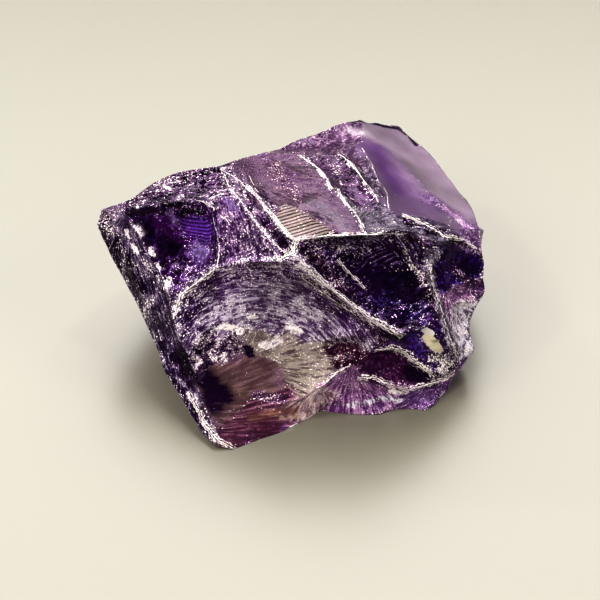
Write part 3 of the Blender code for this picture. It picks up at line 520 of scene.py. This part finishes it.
# White lines of crushed quartz along the sharpest ridges: the line in the view, half the width of
# one strand in millimetres, how solid it is, and how much of the finer strands lie on both sides.
LINES = {
    "bowl_rim": (
        [(201, 201), (214, 208), (213, 219), (217, 232), (219, 249), (217, 267)], 0.06, 0.75, 0,
    ),
    "bowl_rim_low": ([(217, 267), (199, 281), (181, 294), (177, 306), (174, 316)], 0.08, 1.0, 0.4),
    "slope_line": ([(221, 216), (230, 223)], 0.07, 0.8, 0),
    "strip_left": (
        [(222, 169), (229, 186), (240, 200), (250, 214), (260, 227), (272, 241), (284, 252)], 0.04,
        0.75, 0.5,
    ),
    "strip_right_top": ([(222, 169), (236, 178), (247, 186)], 0.05, 0.6, 0.4),
    "strip_right": ([(247, 186), (257, 196), (268, 210), (280, 225), (294, 241)], 0.06, 1.0, 0.8),
    "strip_edge": ([(250, 177), (255, 187), (264, 202), (272, 215)], 0.04, 0.4, 0),
    "crest": (
        [(293, 239), (312, 238), (326, 236), (341, 235), (363, 235), (382, 234), (401, 234)], 0.08,
        1.1, 0.3,
    ),
    "hub": ([(294, 240), (294, 252), (279, 259)], 0.08, 1.1, 0.5),
    "keel": (
        [(300, 265), (311, 271), (324, 283), (342, 296), (355, 306), (373, 320), (388, 329),
        (402, 336)], 0.10, 1.3, 1.0,
    ),
    "keel_low": ([(300, 276), (328, 296), (351, 313)], 0.05, 0.7, 0.3),
    "short_line": ([(339, 261), (350, 274), (364, 287)], 0.06, 0.9, 0.4),
    "fan_ridge": ([(301, 156), (310, 163), (319, 169), (326, 177), (331, 186)], 0.07, 0.8, 0.3),
    "fan_ridge_low": ([(338, 190), (346, 203), (353, 211), (360, 221), (363, 232)], 0.06, 1.1, 0.4),
    "fan_line": (
        [(340, 155), (348, 161), (357, 171), (365, 182), (372, 190), (377, 200)], 0.09, 1.5, 0,
    ),
    "fan_edge": ([(362, 147), (369, 158), (378, 180), (387, 194), (389, 207)], 0.06, 0.6, 0),
    "right_crest": (
        [(405, 215), (420, 222), (435, 230), (447, 237), (465, 240), (475, 248)], 0.07, 0.9, 0.6,
    ),
    "shin": ([(189, 394), (195, 405), (205, 425), (218, 440), (233, 448)], 0.07, 1.0, 0.8),
    "pool_front": ([(236, 450), (259, 443), (286, 430), (300, 421), (319, 413)], 0.06, 0.75, 0),
    "wedge": ([(313, 394), (325, 383), (336, 373), (347, 367)], 0.08, 1.3, 0),
    "step": (
        [(377, 350), (392, 348), (405, 352), (414, 362), (423, 368), (433, 376)], 0.08, 1.1, 0.5,
    ),
    "heel": (
        [(360, 378), (376, 378), (392, 386), (408, 390), (423, 386), (441, 381), (452, 375)], 0.08,
        1.0, 0.6,
    ),
    "right_strip": ([(428, 262), (433, 285), (441, 310), (450, 338), (460, 362)], 0.05, 0.7, 0.4),
}
# The columns of a look: a finish whose two colours are three numbers each. The material mixes the
# first twelve, and the last three set the maps of the ripples and the grains.
COLOURS = {"glow": 0, "veil_and_sheen": 3}
AMOUNTS = {"haze": 6, "cover": 7, "flecks": 8, "pits": 9, "ripple": 10, "hackle": 11}
MIXED = 12


def along(pixels):
    """Places on the skin, in millimetres, a pixel apart along a line through these pixels."""
    places = []
    for start, end in zip(pixels, pixels[1:]):
        count = max(1, round(math.dist(start, end)))
        for step in range(count):
            share = step / count
            pixel = [first + (last - first) * share for first, last in zip(start, end)]
            places.append(on_skin(pixel)[0] / MM)
    places.append(on_skin(pixels[-1])[0] / MM)
    return np.array(places)


def near_line(line, reach):
    """The vertices within reach of a line of places, and the nearest place to each and its gap."""
    near = ((place > line.min(axis=0) - reach) & (place < line.max(axis=0) + reach)).all(axis=1)
    near = np.flatnonzero(near)
    gaps = np.linalg.norm(place[near][:, None] - line[None], axis=2)
    close = gaps.min(axis=1) < reach
    return near[close], gaps[close].argmin(axis=1), gaps[close].min(axis=1)


def linear(code):
    """A colour's linear red, green and blue, from its sRGB hex code."""
    parts = [int(code[start : start + 2], 16) / 255.0 for start in (0, 2, 4)]
    return [part / 12.92 if part <= 0.04045 else ((part + 0.055) / 1.055) ** 2.4 for part in parts]


def look(finish):
    """All of a finish as one row of numbers."""
    return [*linear(FINISHES[finish][0]), *linear(FINISHES[finish][1]), *FINISHES[finish][2:]]


# The look of each vertex is that of its scar, with a border that wanders a little off the ridge and
# fades over a few vertices. Two smooth scars fade into each other over a long way.
WANDER = ((1.6, 0.4, 21), (0.5, 0.2, 24))
SOFTENING = 5
HAZE_SOFTENING = 150
EDGE_FLECKS = 0.12

looks = np.array([look(finish) for _, _, finish in SCARS.values()])
sway = [
    sum(amount * clouds(size, seed + axis) for size, amount, seed in WANDER) for axis in range(3)
]
swayed = [
    skin_tree.find_nearest(Vector(spot) * MM)[2] for spot in place + np.stack(sway, axis=1)
]
own_look = looks[np.array(scar_faces)[swayed], :MIXED]
for _ in range(SOFTENING):
    own_look = nearer_mean(own_look, both, degree)
hazy &= hazy_degree > 0
for _ in range(HAZE_SOFTENING):
    own_look[hazy] = nearer_mean(own_look, hazy_ends, hazy_degree)[hazy]
own_look[:, AMOUNTS["flecks"]] += EDGE_FLECKS * eased(1.0 - to_border / FADE)

# The spots. Where two meet, a vertex takes the look of the one that covers it more. The border of a
# hackly one is rough.
SPOT_REACH = 2.4
SPOT_ROUGH = 0.2
SPOT_SOFTENING = 3

vary = 0.4 * clouds(0.9, 11) + 0.5 * clouds(0.4, 12)
spot_look = own_look.copy()
spot_cover = np.zeros(len(place))
spot_soft = np.zeros(len(place))
for finish, pixels, half_width, soft in SPOTS.values():
    near, _, gaps = near_line(along(pixels), SPOT_REACH * half_width)
    rough = 1.0 + vary[near] * (SPOT_ROUGH + FINISHES[finish][HACKLE])
    cover = np.clip(1.0 - 0.5 * gaps * rough / half_width, 0.0, 1.0)
    top = cover > spot_cover[near]
    near = near[top]
    spot_look[near] = look(finish)[:MIXED]
    spot_cover[near] = cover[top]
    spot_soft[near] = soft
for _ in range(SPOT_SOFTENING):
    spot_look = nearer_mean(spot_look, both, degree)

# The white lines. Each vertex near one keeps how far to its side the line is, in half widths, so
# that the material can draw the strands beside it. A line thins out past its ends and its sides.
LINE_REACH = 8.0
LINE_MARGIN = 0.2
LINE_END = 0.25

line_gap = np.full(len(place), LINE_REACH)
crush = np.zeros(len(place))
strands = np.zeros(len(place))
for pixels, half_width, strength, frayed in LINES.values():
    line = along(pixels)
    near, nearest, gaps = near_line(line, LINE_REACH * half_width + LINE_MARGIN)
    ahead = line[np.minimum(nearest + 1, len(line) - 1)] - line[np.maximum(nearest - 1, 0)]
    beside = np.cross(outward[near], ahead)
    beside /= np.linalg.norm(beside, axis=1)[:, None]
    gap = ((place[near] - line[nearest]) * beside).sum(axis=1) / half_width
    beyond = np.sqrt(np.maximum(0.0, gaps * gaps - (gap * half_width) ** 2))
    amount = strength * np.clip(1.5 - beyond / LINE_END, 0.0, 1.0)
    amount *= np.clip(2.0 - np.abs(gap) / (0.5 * LINE_REACH), 0.0, 1.0)
    top = amount > crush[near]
    line_gap[near[top]] = np.clip(gap[top], -LINE_REACH, LINE_REACH)
    crush[near[top]] = amount[top]
    strands[near[top]] = frayed

# The maps of the ripples and the grains. Both run out from the origin of the scar's blow, and
# across that by the turn about it, in millimetres at the middle of the scar.
LEAST_ARC = 2.0
BORDER_CRUSH = 0.22

away = place[corner_vert] - origins[corner_scar]
arc = np.linalg.norm(away, axis=1)
scar_middle = np.array([place[vert_scar == number].mean(axis=0) for number in range(len(SCARS))])
scar_out = np.array([outward[vert_scar == number].mean(axis=0) for number in range(len(SCARS))])
scar_out /= np.linalg.norm(scar_out, axis=1)[:, None]
ahead = scar_middle - origins
ahead -= scar_out * (ahead * scar_out).sum(axis=1)[:, None]
mean_arc = np.linalg.norm(ahead, axis=1)
ahead /= mean_arc[:, None]
aside = np.cross(scar_out, ahead)
turn_aside = (away * aside[corner_scar]).sum(axis=1)
turn_ahead = (away * ahead[corner_scar]).sum(axis=1)
side = np.arctan2(turn_aside, turn_ahead) * np.maximum(mean_arc, LEAST_ARC)[corner_scar]
ripple_width, grains_along, grains_across = looks[corner_scar, MIXED:].T
MAPS = {
    "ripples": (arc / ripple_width, side),
    "grains": (arc * grains_along, side * grains_across),
}
for name, columns in MAPS.items():
    uv_map = fine.uv_layers.new(name=name)
    rows = np.stack(columns, axis=1).ravel()
    uv_map.uv.foreach_set("vector", np.ascontiguousarray(rows, np.float32))


def keep(name, kind, field, rows):
    """Keeps a value of each vertex in the mesh, for the material to read."""
    kept = fine.attributes.new(name, kind, "POINT")
    kept.data.foreach_set(field, np.ascontiguousarray(rows.ravel(), np.float32))


for prefix, source_look in (("", own_look), ("spot_", spot_look)):
    for name, first in COLOURS.items():
        rows = [source_look[:, first : first + 3], np.ones((len(place), 1))]
        keep(prefix + name, "FLOAT_COLOR", "color", np.concatenate(rows, axis=1))
    for name, column in AMOUNTS.items():
        keep(prefix + name, "FLOAT", "value", source_look[:, column])
POINTS = {
    "spot": spot_cover,
    "soft": spot_soft,
    "line": line_gap,
    "crush": crush,
    "strands": strands,
    "border": np.clip(1.0 - to_border / BORDER_CRUSH, 0.0, 1.0),
}
for name, values in POINTS.items():
    keep(name, "FLOAT", "value", values)


def add_node(tree, kind, settings, *values):
    """Adds a node. Numbers, sockets and nodes go to its inputs in order, or by name in a dict."""
    node = tree.nodes.new(kind)
    for name, value in settings.items():
        setattr(node, name, value)
    inputs = values[0] if values and isinstance(values[0], dict) else dict(enumerate(values))
    for name, value in inputs.items():
        if isinstance(value, bpy.types.Node):
            value = value.outputs[0]
        if isinstance(value, bpy.types.NodeSocket):
            tree.links.new(value, node.inputs[name])
        else:
            node.inputs[name].default_value = value
    return node


# The kinds of node that the quartz needs most, and their settings. TIMES_PLUS multiplies its first
# two values and adds the third. STEP goes from 0 to 1 as its first value goes from the second to
# the third.
MATHS = "ShaderNodeMath"
PLUS = {"operation": "ADD"}
MINUS = {"operation": "SUBTRACT"}
TIMES = {"operation": "MULTIPLY"}
TIMES_PLUS = {"operation": "MULTIPLY_ADD"}
UNSIGNED = {"operation": "ABSOLUTE"}
GREATER = {"operation": "MAXIMUM"}
LESSER = {"operation": "MINIMUM"}
SINE = {"operation": "SINE"}
VECTORS = "ShaderNodeVectorMath"
STEP = "ShaderNodeMapRange"
EASED = {"interpolation_type": "SMOOTHSTEP"}
NOISE = "ShaderNodeTexNoise"
MIX = "ShaderNodeMix"
# Even patterns: the size of a lump in millimetres, the detail and the roughness. Real cracks and
# flecks are a few hundredths of a millimetre, too fine to show in the render, so the fuzz and the
# spark are drawn as coarse as they need to be.
EVEN = {
    "blotch": (1.8, 3.0, 0.6),
    "fuzz": (0.26, 2.0, 0.6),
    "drift": (5.0, 2.0, 0.5),
    "spark": (0.15, 0.0, 0.5),
    "breaks": (0.5, 1.0, 0.5),
}
# Patterns drawn out along the blow: lumps for each grain of the finish, the detail and the
# roughness. The cracks follow the threads and the hairs. They are drawn coarser than real ones too.
DRAWN = {"streak": (1.0, 3.0, 0.6), "thread": (0.8, 1.0, 0.4), "hair": (1.7, 1.0, 0.5)}
# Little flat facets of the hackly break: their size in millimetres, and their slope.
FACETS = ((0.9, 0.7), (0.36, 0.9))
# The white of crushed quartz, which also stands for painted glints.
CRUSHED_AND_GLINT_WHITE = "FCF2EE"
# The dark of the pits, partly painted dark reflections, and of the painted shadows beside the
# lines.
PIT_AND_SHADOW_VIOLET = "280A38"
DEEP_VIOLET = "D400D1"
SHEEN_VIOLET = "DAAAE7"
QUARTZ_IOR = 1.544
VIOLET_DENSITY = 230.0


# Amethyst, broken and left rough: a glassy clear solid, dark violet where light goes far through
# it. The break left tiny cracks just under the skin, which scatter light as a grey-violet veil, and
# crushed white crumbs along the ridges. The veil's colour also holds a painted sheen of the lamps,
# the white flecks are partly painted glints and the dark pits partly painted dark reflections. The
# eye sees sparkle over a dark depth.
def amethyst():
    material = bpy.data.materials.new("amethyst")
    material.use_nodes = True
    tree = material.node_tree
    surface = tree.nodes["Principled BSDF"]
    output = tree.nodes["Material Output"]

    # The patterns, and the values that are kept in the mesh.
    where = add_node(tree, "ShaderNodeTexCoord", {}).outputs["Object"]
    ripples = add_node(tree, "ShaderNodeUVMap", {"uv_map": "ripples"})
    grains = add_node(tree, "ShaderNodeUVMap", {"uv_map": "grains"})
    pattern = {}
    for name, (size, detail, rough) in EVEN.items():
        values = {"Vector": where, "Scale": 1000 / size, "Detail": detail, "Roughness": rough}
        pattern[name] = add_node(tree, NOISE, {}, values)
    for name, (scale, detail, rough) in DRAWN.items():
        values = {"Vector": grains, "Scale": scale, "Detail": detail, "Roughness": rough}
        pattern[name] = add_node(tree, NOISE, {}, values)
    blotch, fuzz, drift, spark, breaks, streak, thread, hair = pattern.values()
    kept = {}
    for name in (*COLOURS, *AMOUNTS):
        for full in (name, "spot_" + name):
            node = add_node(tree, "ShaderNodeAttribute", {"attribute_name": full})
            kept[full] = node.outputs["Color" if name in COLOURS else "Fac"]
    for name in POINTS:
        kept[name] = add_node(tree, "ShaderNodeAttribute", {"attribute_name": name}).outputs["Fac"]
    crush = kept["crush"]

    # Where a spot is, with an edge that is as ragged as its break is hackly.
    ragged = add_node(tree, MATHS, TIMES_PLUS, kept["spot_hackle"], 1.2, 0.3)
    frayed = add_node(tree, MATHS, TIMES_PLUS, spark, 0.4, -0.55)
    frayed = add_node(tree, MATHS, TIMES_PLUS, fuzz, 0.7, frayed)
    ragged = add_node(tree, MATHS, TIMES, ragged, frayed)
    ragged = add_node(tree, MATHS, PLUS, ragged, kept["spot"])
    soft = add_node(tree, MATHS, TIMES_PLUS, kept["soft"], 0.44, 0.06)
    lower = add_node(tree, MATHS, MINUS, 0.5, soft)
    upper = add_node(tree, MATHS, PLUS, 0.5, soft)
    spot = add_node(tree, STEP, EASED, ragged, lower, upper)
    own = {}
    for name in COLOURS:
        values = {0: spot, 6: kept[name], 7: kept["spot_" + name]}
        own[name] = add_node(tree, MIX, {"data_type": "RGBA"}, values).outputs[2]
    for name in AMOUNTS:
        values = {0: spot, 2: kept[name], 3: kept["spot_" + name]}
        own[name] = add_node(tree, MIX, {"data_type": "FLOAT"}, values)

    # The ripples: waves round the origin of the blow, less even where they are weak.
    across = add_node(tree, "ShaderNodeSeparateXYZ", {}, ripples)
    phase = add_node(tree, MATHS, TIMES, streak, 2.0)
    phase = add_node(tree, MATHS, TIMES_PLUS, blotch, 9.0, phase)
    uneven = add_node(tree, MATHS, MINUS, 1.08, own["ripple"])
    phase = add_node(tree, MATHS, TIMES, phase, uneven)
    phase = add_node(tree, MATHS, TIMES_PLUS, across, 2.0 * math.pi, phase)
    wave = add_node(tree, MATHS, SINE, phase)
    wave = add_node(tree, MATHS, TIMES, wave, own["ripple"])

    # The cracks, thin as hair, where the threads and the hairs cross their middle value.
    cracks = []
    for lines, thin in ((thread, 0.005), (hair, 0.01)):
        off = add_node(tree, MATHS, PLUS, lines, -0.5)
        off = add_node(tree, MATHS, UNSIGNED, off)
        cracks.append(add_node(tree, STEP, EASED, off, 0.05, thin))
    crack = add_node(tree, MATHS, GREATER, *cracks)
    hackly = add_node(tree, MATHS, TIMES, own["hackle"], 2.0)
    hackly = add_node(tree, MATHS, LESSER, 1.0, hackly)
    crack = add_node(tree, MATHS, TIMES, crack, hackly)

    # How much veil and painted sheen there is: the finish's own cover, broken by streaks, blotches
    # and fuzz.
    streaky = add_node(tree, MATHS, PLUS, streak, -0.5)
    blotchy = add_node(tree, MATHS, PLUS, blotch, -0.5)
    fuzzy = add_node(tree, MATHS, PLUS, fuzz, -0.5)
    strength = add_node(tree, MATHS, TIMES_PLUS, own["hackle"], 1.8, 0.8)
    uneven = add_node(tree, MATHS, TIMES, blotchy, strength)
    uneven = add_node(tree, MATHS, TIMES_PLUS, streaky, 3.3, uneven)
    strength = add_node(tree, MATHS, TIMES_PLUS, own["hackle"], 0.7, 0.3)
    uneven = add_node(tree, MATHS, TIMES_PLUS, fuzzy, strength, uneven)
    for name, loss in (("ripple", -0.7), ("haze", -0.6)):
        left = add_node(tree, MATHS, TIMES_PLUS, own[name], loss, 1.0)
        uneven = add_node(tree, MATHS, TIMES, uneven, left)
    level = add_node(tree, MATHS, PLUS, own["cover"], -0.2)
    level = add_node(tree, MATHS, PLUS, level, uneven)
    level = add_node(tree, MATHS, TIMES_PLUS, wave, 0.8, level)
    level = add_node(tree, MATHS, TIMES_PLUS, crack, 0.4, level)
    width = add_node(tree, MATHS, TIMES_PLUS, own["hackle"], -0.35, 0.45)
    lower = add_node(tree, MATHS, MINUS, 0.6, width)
    upper = add_node(tree, MATHS, PLUS, 0.6, width)
    veiled = add_node(tree, STEP, EASED, level, lower, upper)
    clear = add_node(tree, MATHS, TIMES_PLUS, own["haze"], -0.5, 1.0)
    bare = add_node(tree, MATHS, TIMES_PLUS, veiled, -0.9, 1.0)
    clear = add_node(tree, MATHS, TIMES, clear, bare)

    # White flecks, partly painted glints, where the veil is thick, and crumbs on the borders and
    # round the lines.
    chance = add_node(tree, MATHS, TIMES_PLUS, own["hackle"], 0.3, 0.2)
    chance = add_node(tree, MATHS, TIMES, level, chance)
    chance = add_node(tree, MATHS, TIMES_PLUS, crack, 0.3, chance)
    chance = add_node(tree, MATHS, TIMES_PLUS, blotchy, 1.3, chance)
    chance = add_node(tree, MATHS, PLUS, chance, own["flecks"])
    chance = add_node(tree, MATHS, TIMES_PLUS, spark, 3.0, chance)
    flecks = add_node(tree, STEP, EASED, chance, 2.62, 2.95)
    crumbs = add_node(tree, MATHS, TIMES_PLUS, kept["border"], 0.45, -1.8)
    crumbs = add_node(tree, MATHS, PLUS, spark, crumbs)
    crumbs = add_node(tree, MATHS, TIMES_PLUS, fuzz, 2.6, crumbs)
    crumbs = add_node(tree, MATHS, TIMES_PLUS, crush, 0.15, crumbs)
    crumbs = add_node(tree, STEP, EASED, crumbs, 0.7, 0.85)

    # The white lines: a strand that wanders and breaks, and a finer one on both sides of it.
    wander = add_node(tree, MATHS, TIMES_PLUS, blotch, 4.0, -5.0)
    wander = add_node(tree, MATHS, TIMES_PLUS, fuzz, 6.0, wander)
    gap = add_node(tree, MATHS, PLUS, kept["line"], wander)
    near_gap = add_node(tree, MATHS, UNSIGNED, gap)
    crushed = add_node(tree, STEP, EASED, crush, 0.0, 0.3)
    whole = add_node(tree, MATHS, PLUS, crush, -1.5)
    whole = add_node(tree, MATHS, TIMES_PLUS, breaks, 3.0, whole)
    whole = add_node(tree, STEP, EASED, whole, 0.3, 0.5)
    whole = add_node(tree, MATHS, TIMES, crushed, whole)
    line = add_node(tree, STEP, EASED, near_gap, 1.1, 0.6)
    line = add_node(tree, MATHS, TIMES, line, whole)
    whole = add_node(tree, MATHS, PLUS, kept["strands"], 1.1)
    whole = add_node(tree, MATHS, TIMES_PLUS, crush, 0.5, whole)
    whole = add_node(tree, MATHS, TIMES_PLUS, breaks, -3.0, whole)
    whole = add_node(tree, STEP, EASED, whole, 0.35, 0.6)
    whole = add_node(tree, MATHS, TIMES, crushed, whole)
    for bend, aside in ((4.0, 0.8), (-4.0, -1.2)):
        strand = add_node(tree, MATHS, PLUS, gap, aside)
        strand = add_node(tree, MATHS, TIMES_PLUS, streak, bend, strand)
        strand = add_node(tree, MATHS, UNSIGNED, strand)
        strand = add_node(tree, STEP, EASED, strand, 0.9, 0.4)
        strand = add_node(tree, MATHS, TIMES, strand, whole)
        line = add_node(tree, MATHS, GREATER, line, strand)
    white = add_node(tree, MATHS, GREATER, crumbs, line)
    white = add_node(tree, MATHS, GREATER, flecks, white)

    # The dark pits, partly painted dark reflections, and a painted shadow at the foot of a line on
    # both its sides.
    line_shadow = add_node(tree, MATHS, PLUS, near_gap, -2.4)
    line_shadow = add_node(tree, MATHS, UNSIGNED, line_shadow)
    line_shadow = add_node(tree, STEP, EASED, line_shadow, 1.4, 0.4)
    line_shadow = add_node(tree, MATHS, TIMES, line_shadow, crush)
    gloom = add_node(tree, MATHS, TIMES_PLUS, level, -0.8, own["pits"])
    gloom = add_node(tree, MATHS, TIMES_PLUS, spark, -1.0, gloom)
    gloom = add_node(tree, MATHS, TIMES_PLUS, line_shadow, 0.5, gloom)
    pit_and_shadow = add_node(tree, STEP, EASED, gloom, -0.05, 0.15)

    # The colour, how much light goes through, and how dull the skin is.
    values = {0: clear, 6: own["veil_and_sheen"], 7: own["glow"]}
    tint = add_node(tree, MIX, {"data_type": "RGBA"}, values).outputs[2]
    shade = add_node(tree, MATHS, TIMES_PLUS, drift, 1.6, 0.2)
    tint = add_node(tree, VECTORS, {"operation": "SCALE"}, {0: tint, "Scale": shade})
    for share, code in ((pit_and_shadow, PIT_AND_SHADOW_VIOLET), (white, CRUSHED_AND_GLINT_WHITE)):
        values = {0: share, 6: tint, 7: (*linear(code), 1.0)}
        tint = add_node(tree, MIX, {"data_type": "RGBA"}, values).outputs[2]
    tree.links.new(tint, surface.inputs["Base Color"])
    bare = add_node(tree, MATHS, MINUS, 1.0, white)
    clear = add_node(tree, MATHS, TIMES, clear, bare)
    tree.links.new(clear.outputs[0], surface.inputs["Transmission Weight"])
    dull = add_node(tree, MATHS, TIMES_PLUS, own["haze"], 0.3, 0.02)
    cloudy = add_node(tree, MATHS, MINUS, 1.0, clear)
    dull = add_node(tree, MATHS, TIMES_PLUS, cloudy, 0.15, dull)
    dull = add_node(tree, MATHS, TIMES_PLUS, white, 0.2, dull)
    tree.links.new(dull.outputs[0], surface.inputs["Roughness"])

    # The bump, in millimetres: leaning facets where the break is hackly, ripples, grain and crumbs.
    rise = 0.0
    for size, slope in FACETS:
        cells = add_node(tree, "ShaderNodeTexVoronoi", {}, {"Vector": where, "Scale": 1000 / size})
        minus = {"operation": "SUBTRACT"}
        off = add_node(tree, VECTORS, minus, where, cells.outputs["Position"])
        lean = add_node(tree, VECTORS, minus, cells.outputs["Color"], (0.5, 0.5, 0.5))
        tilt = add_node(tree, VECTORS, {"operation": "DOT_PRODUCT"}, off, lean).outputs["Value"]
        rise = add_node(tree, MATHS, TIMES_PLUS, tilt, 1000.0 * slope, rise)
    hackly = add_node(tree, MATHS, TIMES_PLUS, own["hackle"], 0.8, 0.03)
    rise = add_node(tree, MATHS, TIMES, rise, hackly)
    for height, pattern_height in ((wave, 0.015), (streak, 0.05), (white, 0.02)):
        rise = add_node(tree, MATHS, TIMES_PLUS, height, pattern_height, rise)
    values = {"Height": rise, "Strength": 1.0, "Distance": 1.0 * MM}
    bump = add_node(tree, "ShaderNodeBump", {}, values)
    tree.links.new(bump.outputs["Normal"], surface.inputs["Normal"])

    # Clear quartz all over: its refraction, a faint violet sheen, and the violet it lets through.
    surface.inputs["IOR"].default_value = QUARTZ_IOR
    surface.inputs["Specular IOR Level"].default_value = 0.22
    surface.inputs["Specular Tint"].default_value = (*linear(SHEEN_VIOLET), 1.0)
    values = {"Color": (*linear(DEEP_VIOLET), 1.0), "Density": VIOLET_DENSITY}
    violet = add_node(tree, "ShaderNodeVolumeAbsorption", {}, values)
    tree.links.new(violet.outputs["Volume"], output.inputs["Volume"])
    return material


fine.materials.clear()
fine.materials.append(amethyst())
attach(stone, "root")
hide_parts("rough_amethyst")

# The floor and the light
# A plain pale table top with a soft satin, and a large soft light behind the stone, whose sheen
# lies on the faces that look up and back. Three small lamps make the glints.
FLOOR_SIZE = 1.5
FLOOR_DROP = 0.02 * MM
LAMP_WARM = (1.0, 0.97, 0.93)
ROOM_WARM = (1.0, 0.98, 0.94, 1.0)
ROOM_STRENGTH = 0.1

floor_mesh = bpy.data.meshes.new("floor")
plate = bmesh.new()
bmesh.ops.create_grid(plate, x_segments=1, y_segments=1, size=FLOOR_SIZE)
for vert in plate.verts:
    vert.co.z = -FLOOR_DROP
plate.to_mesh(floor_mesh)
floor = bpy.data.objects.new("floor", floor_mesh)
bpy.context.scene.collection.objects.link(floor)
# A pale lacquered top, smooth and a little glossy: it gives the stone a soft shadow and no pattern.
floor_material = bpy.data.materials.new("pale_lacquer")
floor_material.use_nodes = True
floor_surface = floor_material.node_tree.nodes["Principled BSDF"]
floor_surface.inputs["Base Color"].default_value = (*linear("6E6C60"), 1.0)
floor_surface.inputs["Roughness"].default_value = 0.3
floor_surface.inputs["IOR"].default_value = 1.8
floor_mesh.materials.append(floor_material)

world = bpy.data.worlds.new("room")
bpy.context.scene.world = world
world.use_nodes = True
world.node_tree.nodes["Background"].inputs["Color"].default_value = ROOM_WARM
world.node_tree.nodes["Background"].inputs["Strength"].default_value = ROOM_STRENGTH


def softbox(name, spot, size, watts, shines=True):
    """A flat lamp of this size that faces the stone, and whether it is seen in reflections."""
    data = bpy.data.lights.new(name, "AREA")
    data.shape = "RECTANGLE"
    data.size = size[0]
    data.size_y = size[1]
    data.energy = watts
    data.color = LAMP_WARM
    lamp = bpy.data.objects.new(name, data)
    lamp.location = spot
    lamp.rotation_euler = Vector(spot).to_track_quat("Z", "Y").to_euler()
    lamp.visible_glossy = shines
    bpy.context.scene.collection.objects.link(lamp)


softbox("back_light", (0.0, 0.35, 0.42), (0.7, 0.4), 3.6)
softbox("left_light", (-0.4, 0.05, 0.35), (0.3, 0.3), 0.6, False)
softbox("front_light", (-0.28, -0.3, 0.36), (0.3, 0.3), 1.6, False)
softbox("right_light", (0.42, -0.12, 0.26), (0.2, 0.2), 1.1, False)
softbox("glint_high", (0.12, 0.1, 0.5), (0.04, 0.04), 0.5)
softbox("glint_back", (-0.32, 0.3, 0.3), (0.05, 0.04), 0.5)
softbox("glint_left", (-0.3, -0.05, 0.4), (0.04, 0.04), 0.5)
bpy.context.scene.view_settings.view_transform = "Standard"
bpy.context.scene.view_settings.look = "High Contrast"
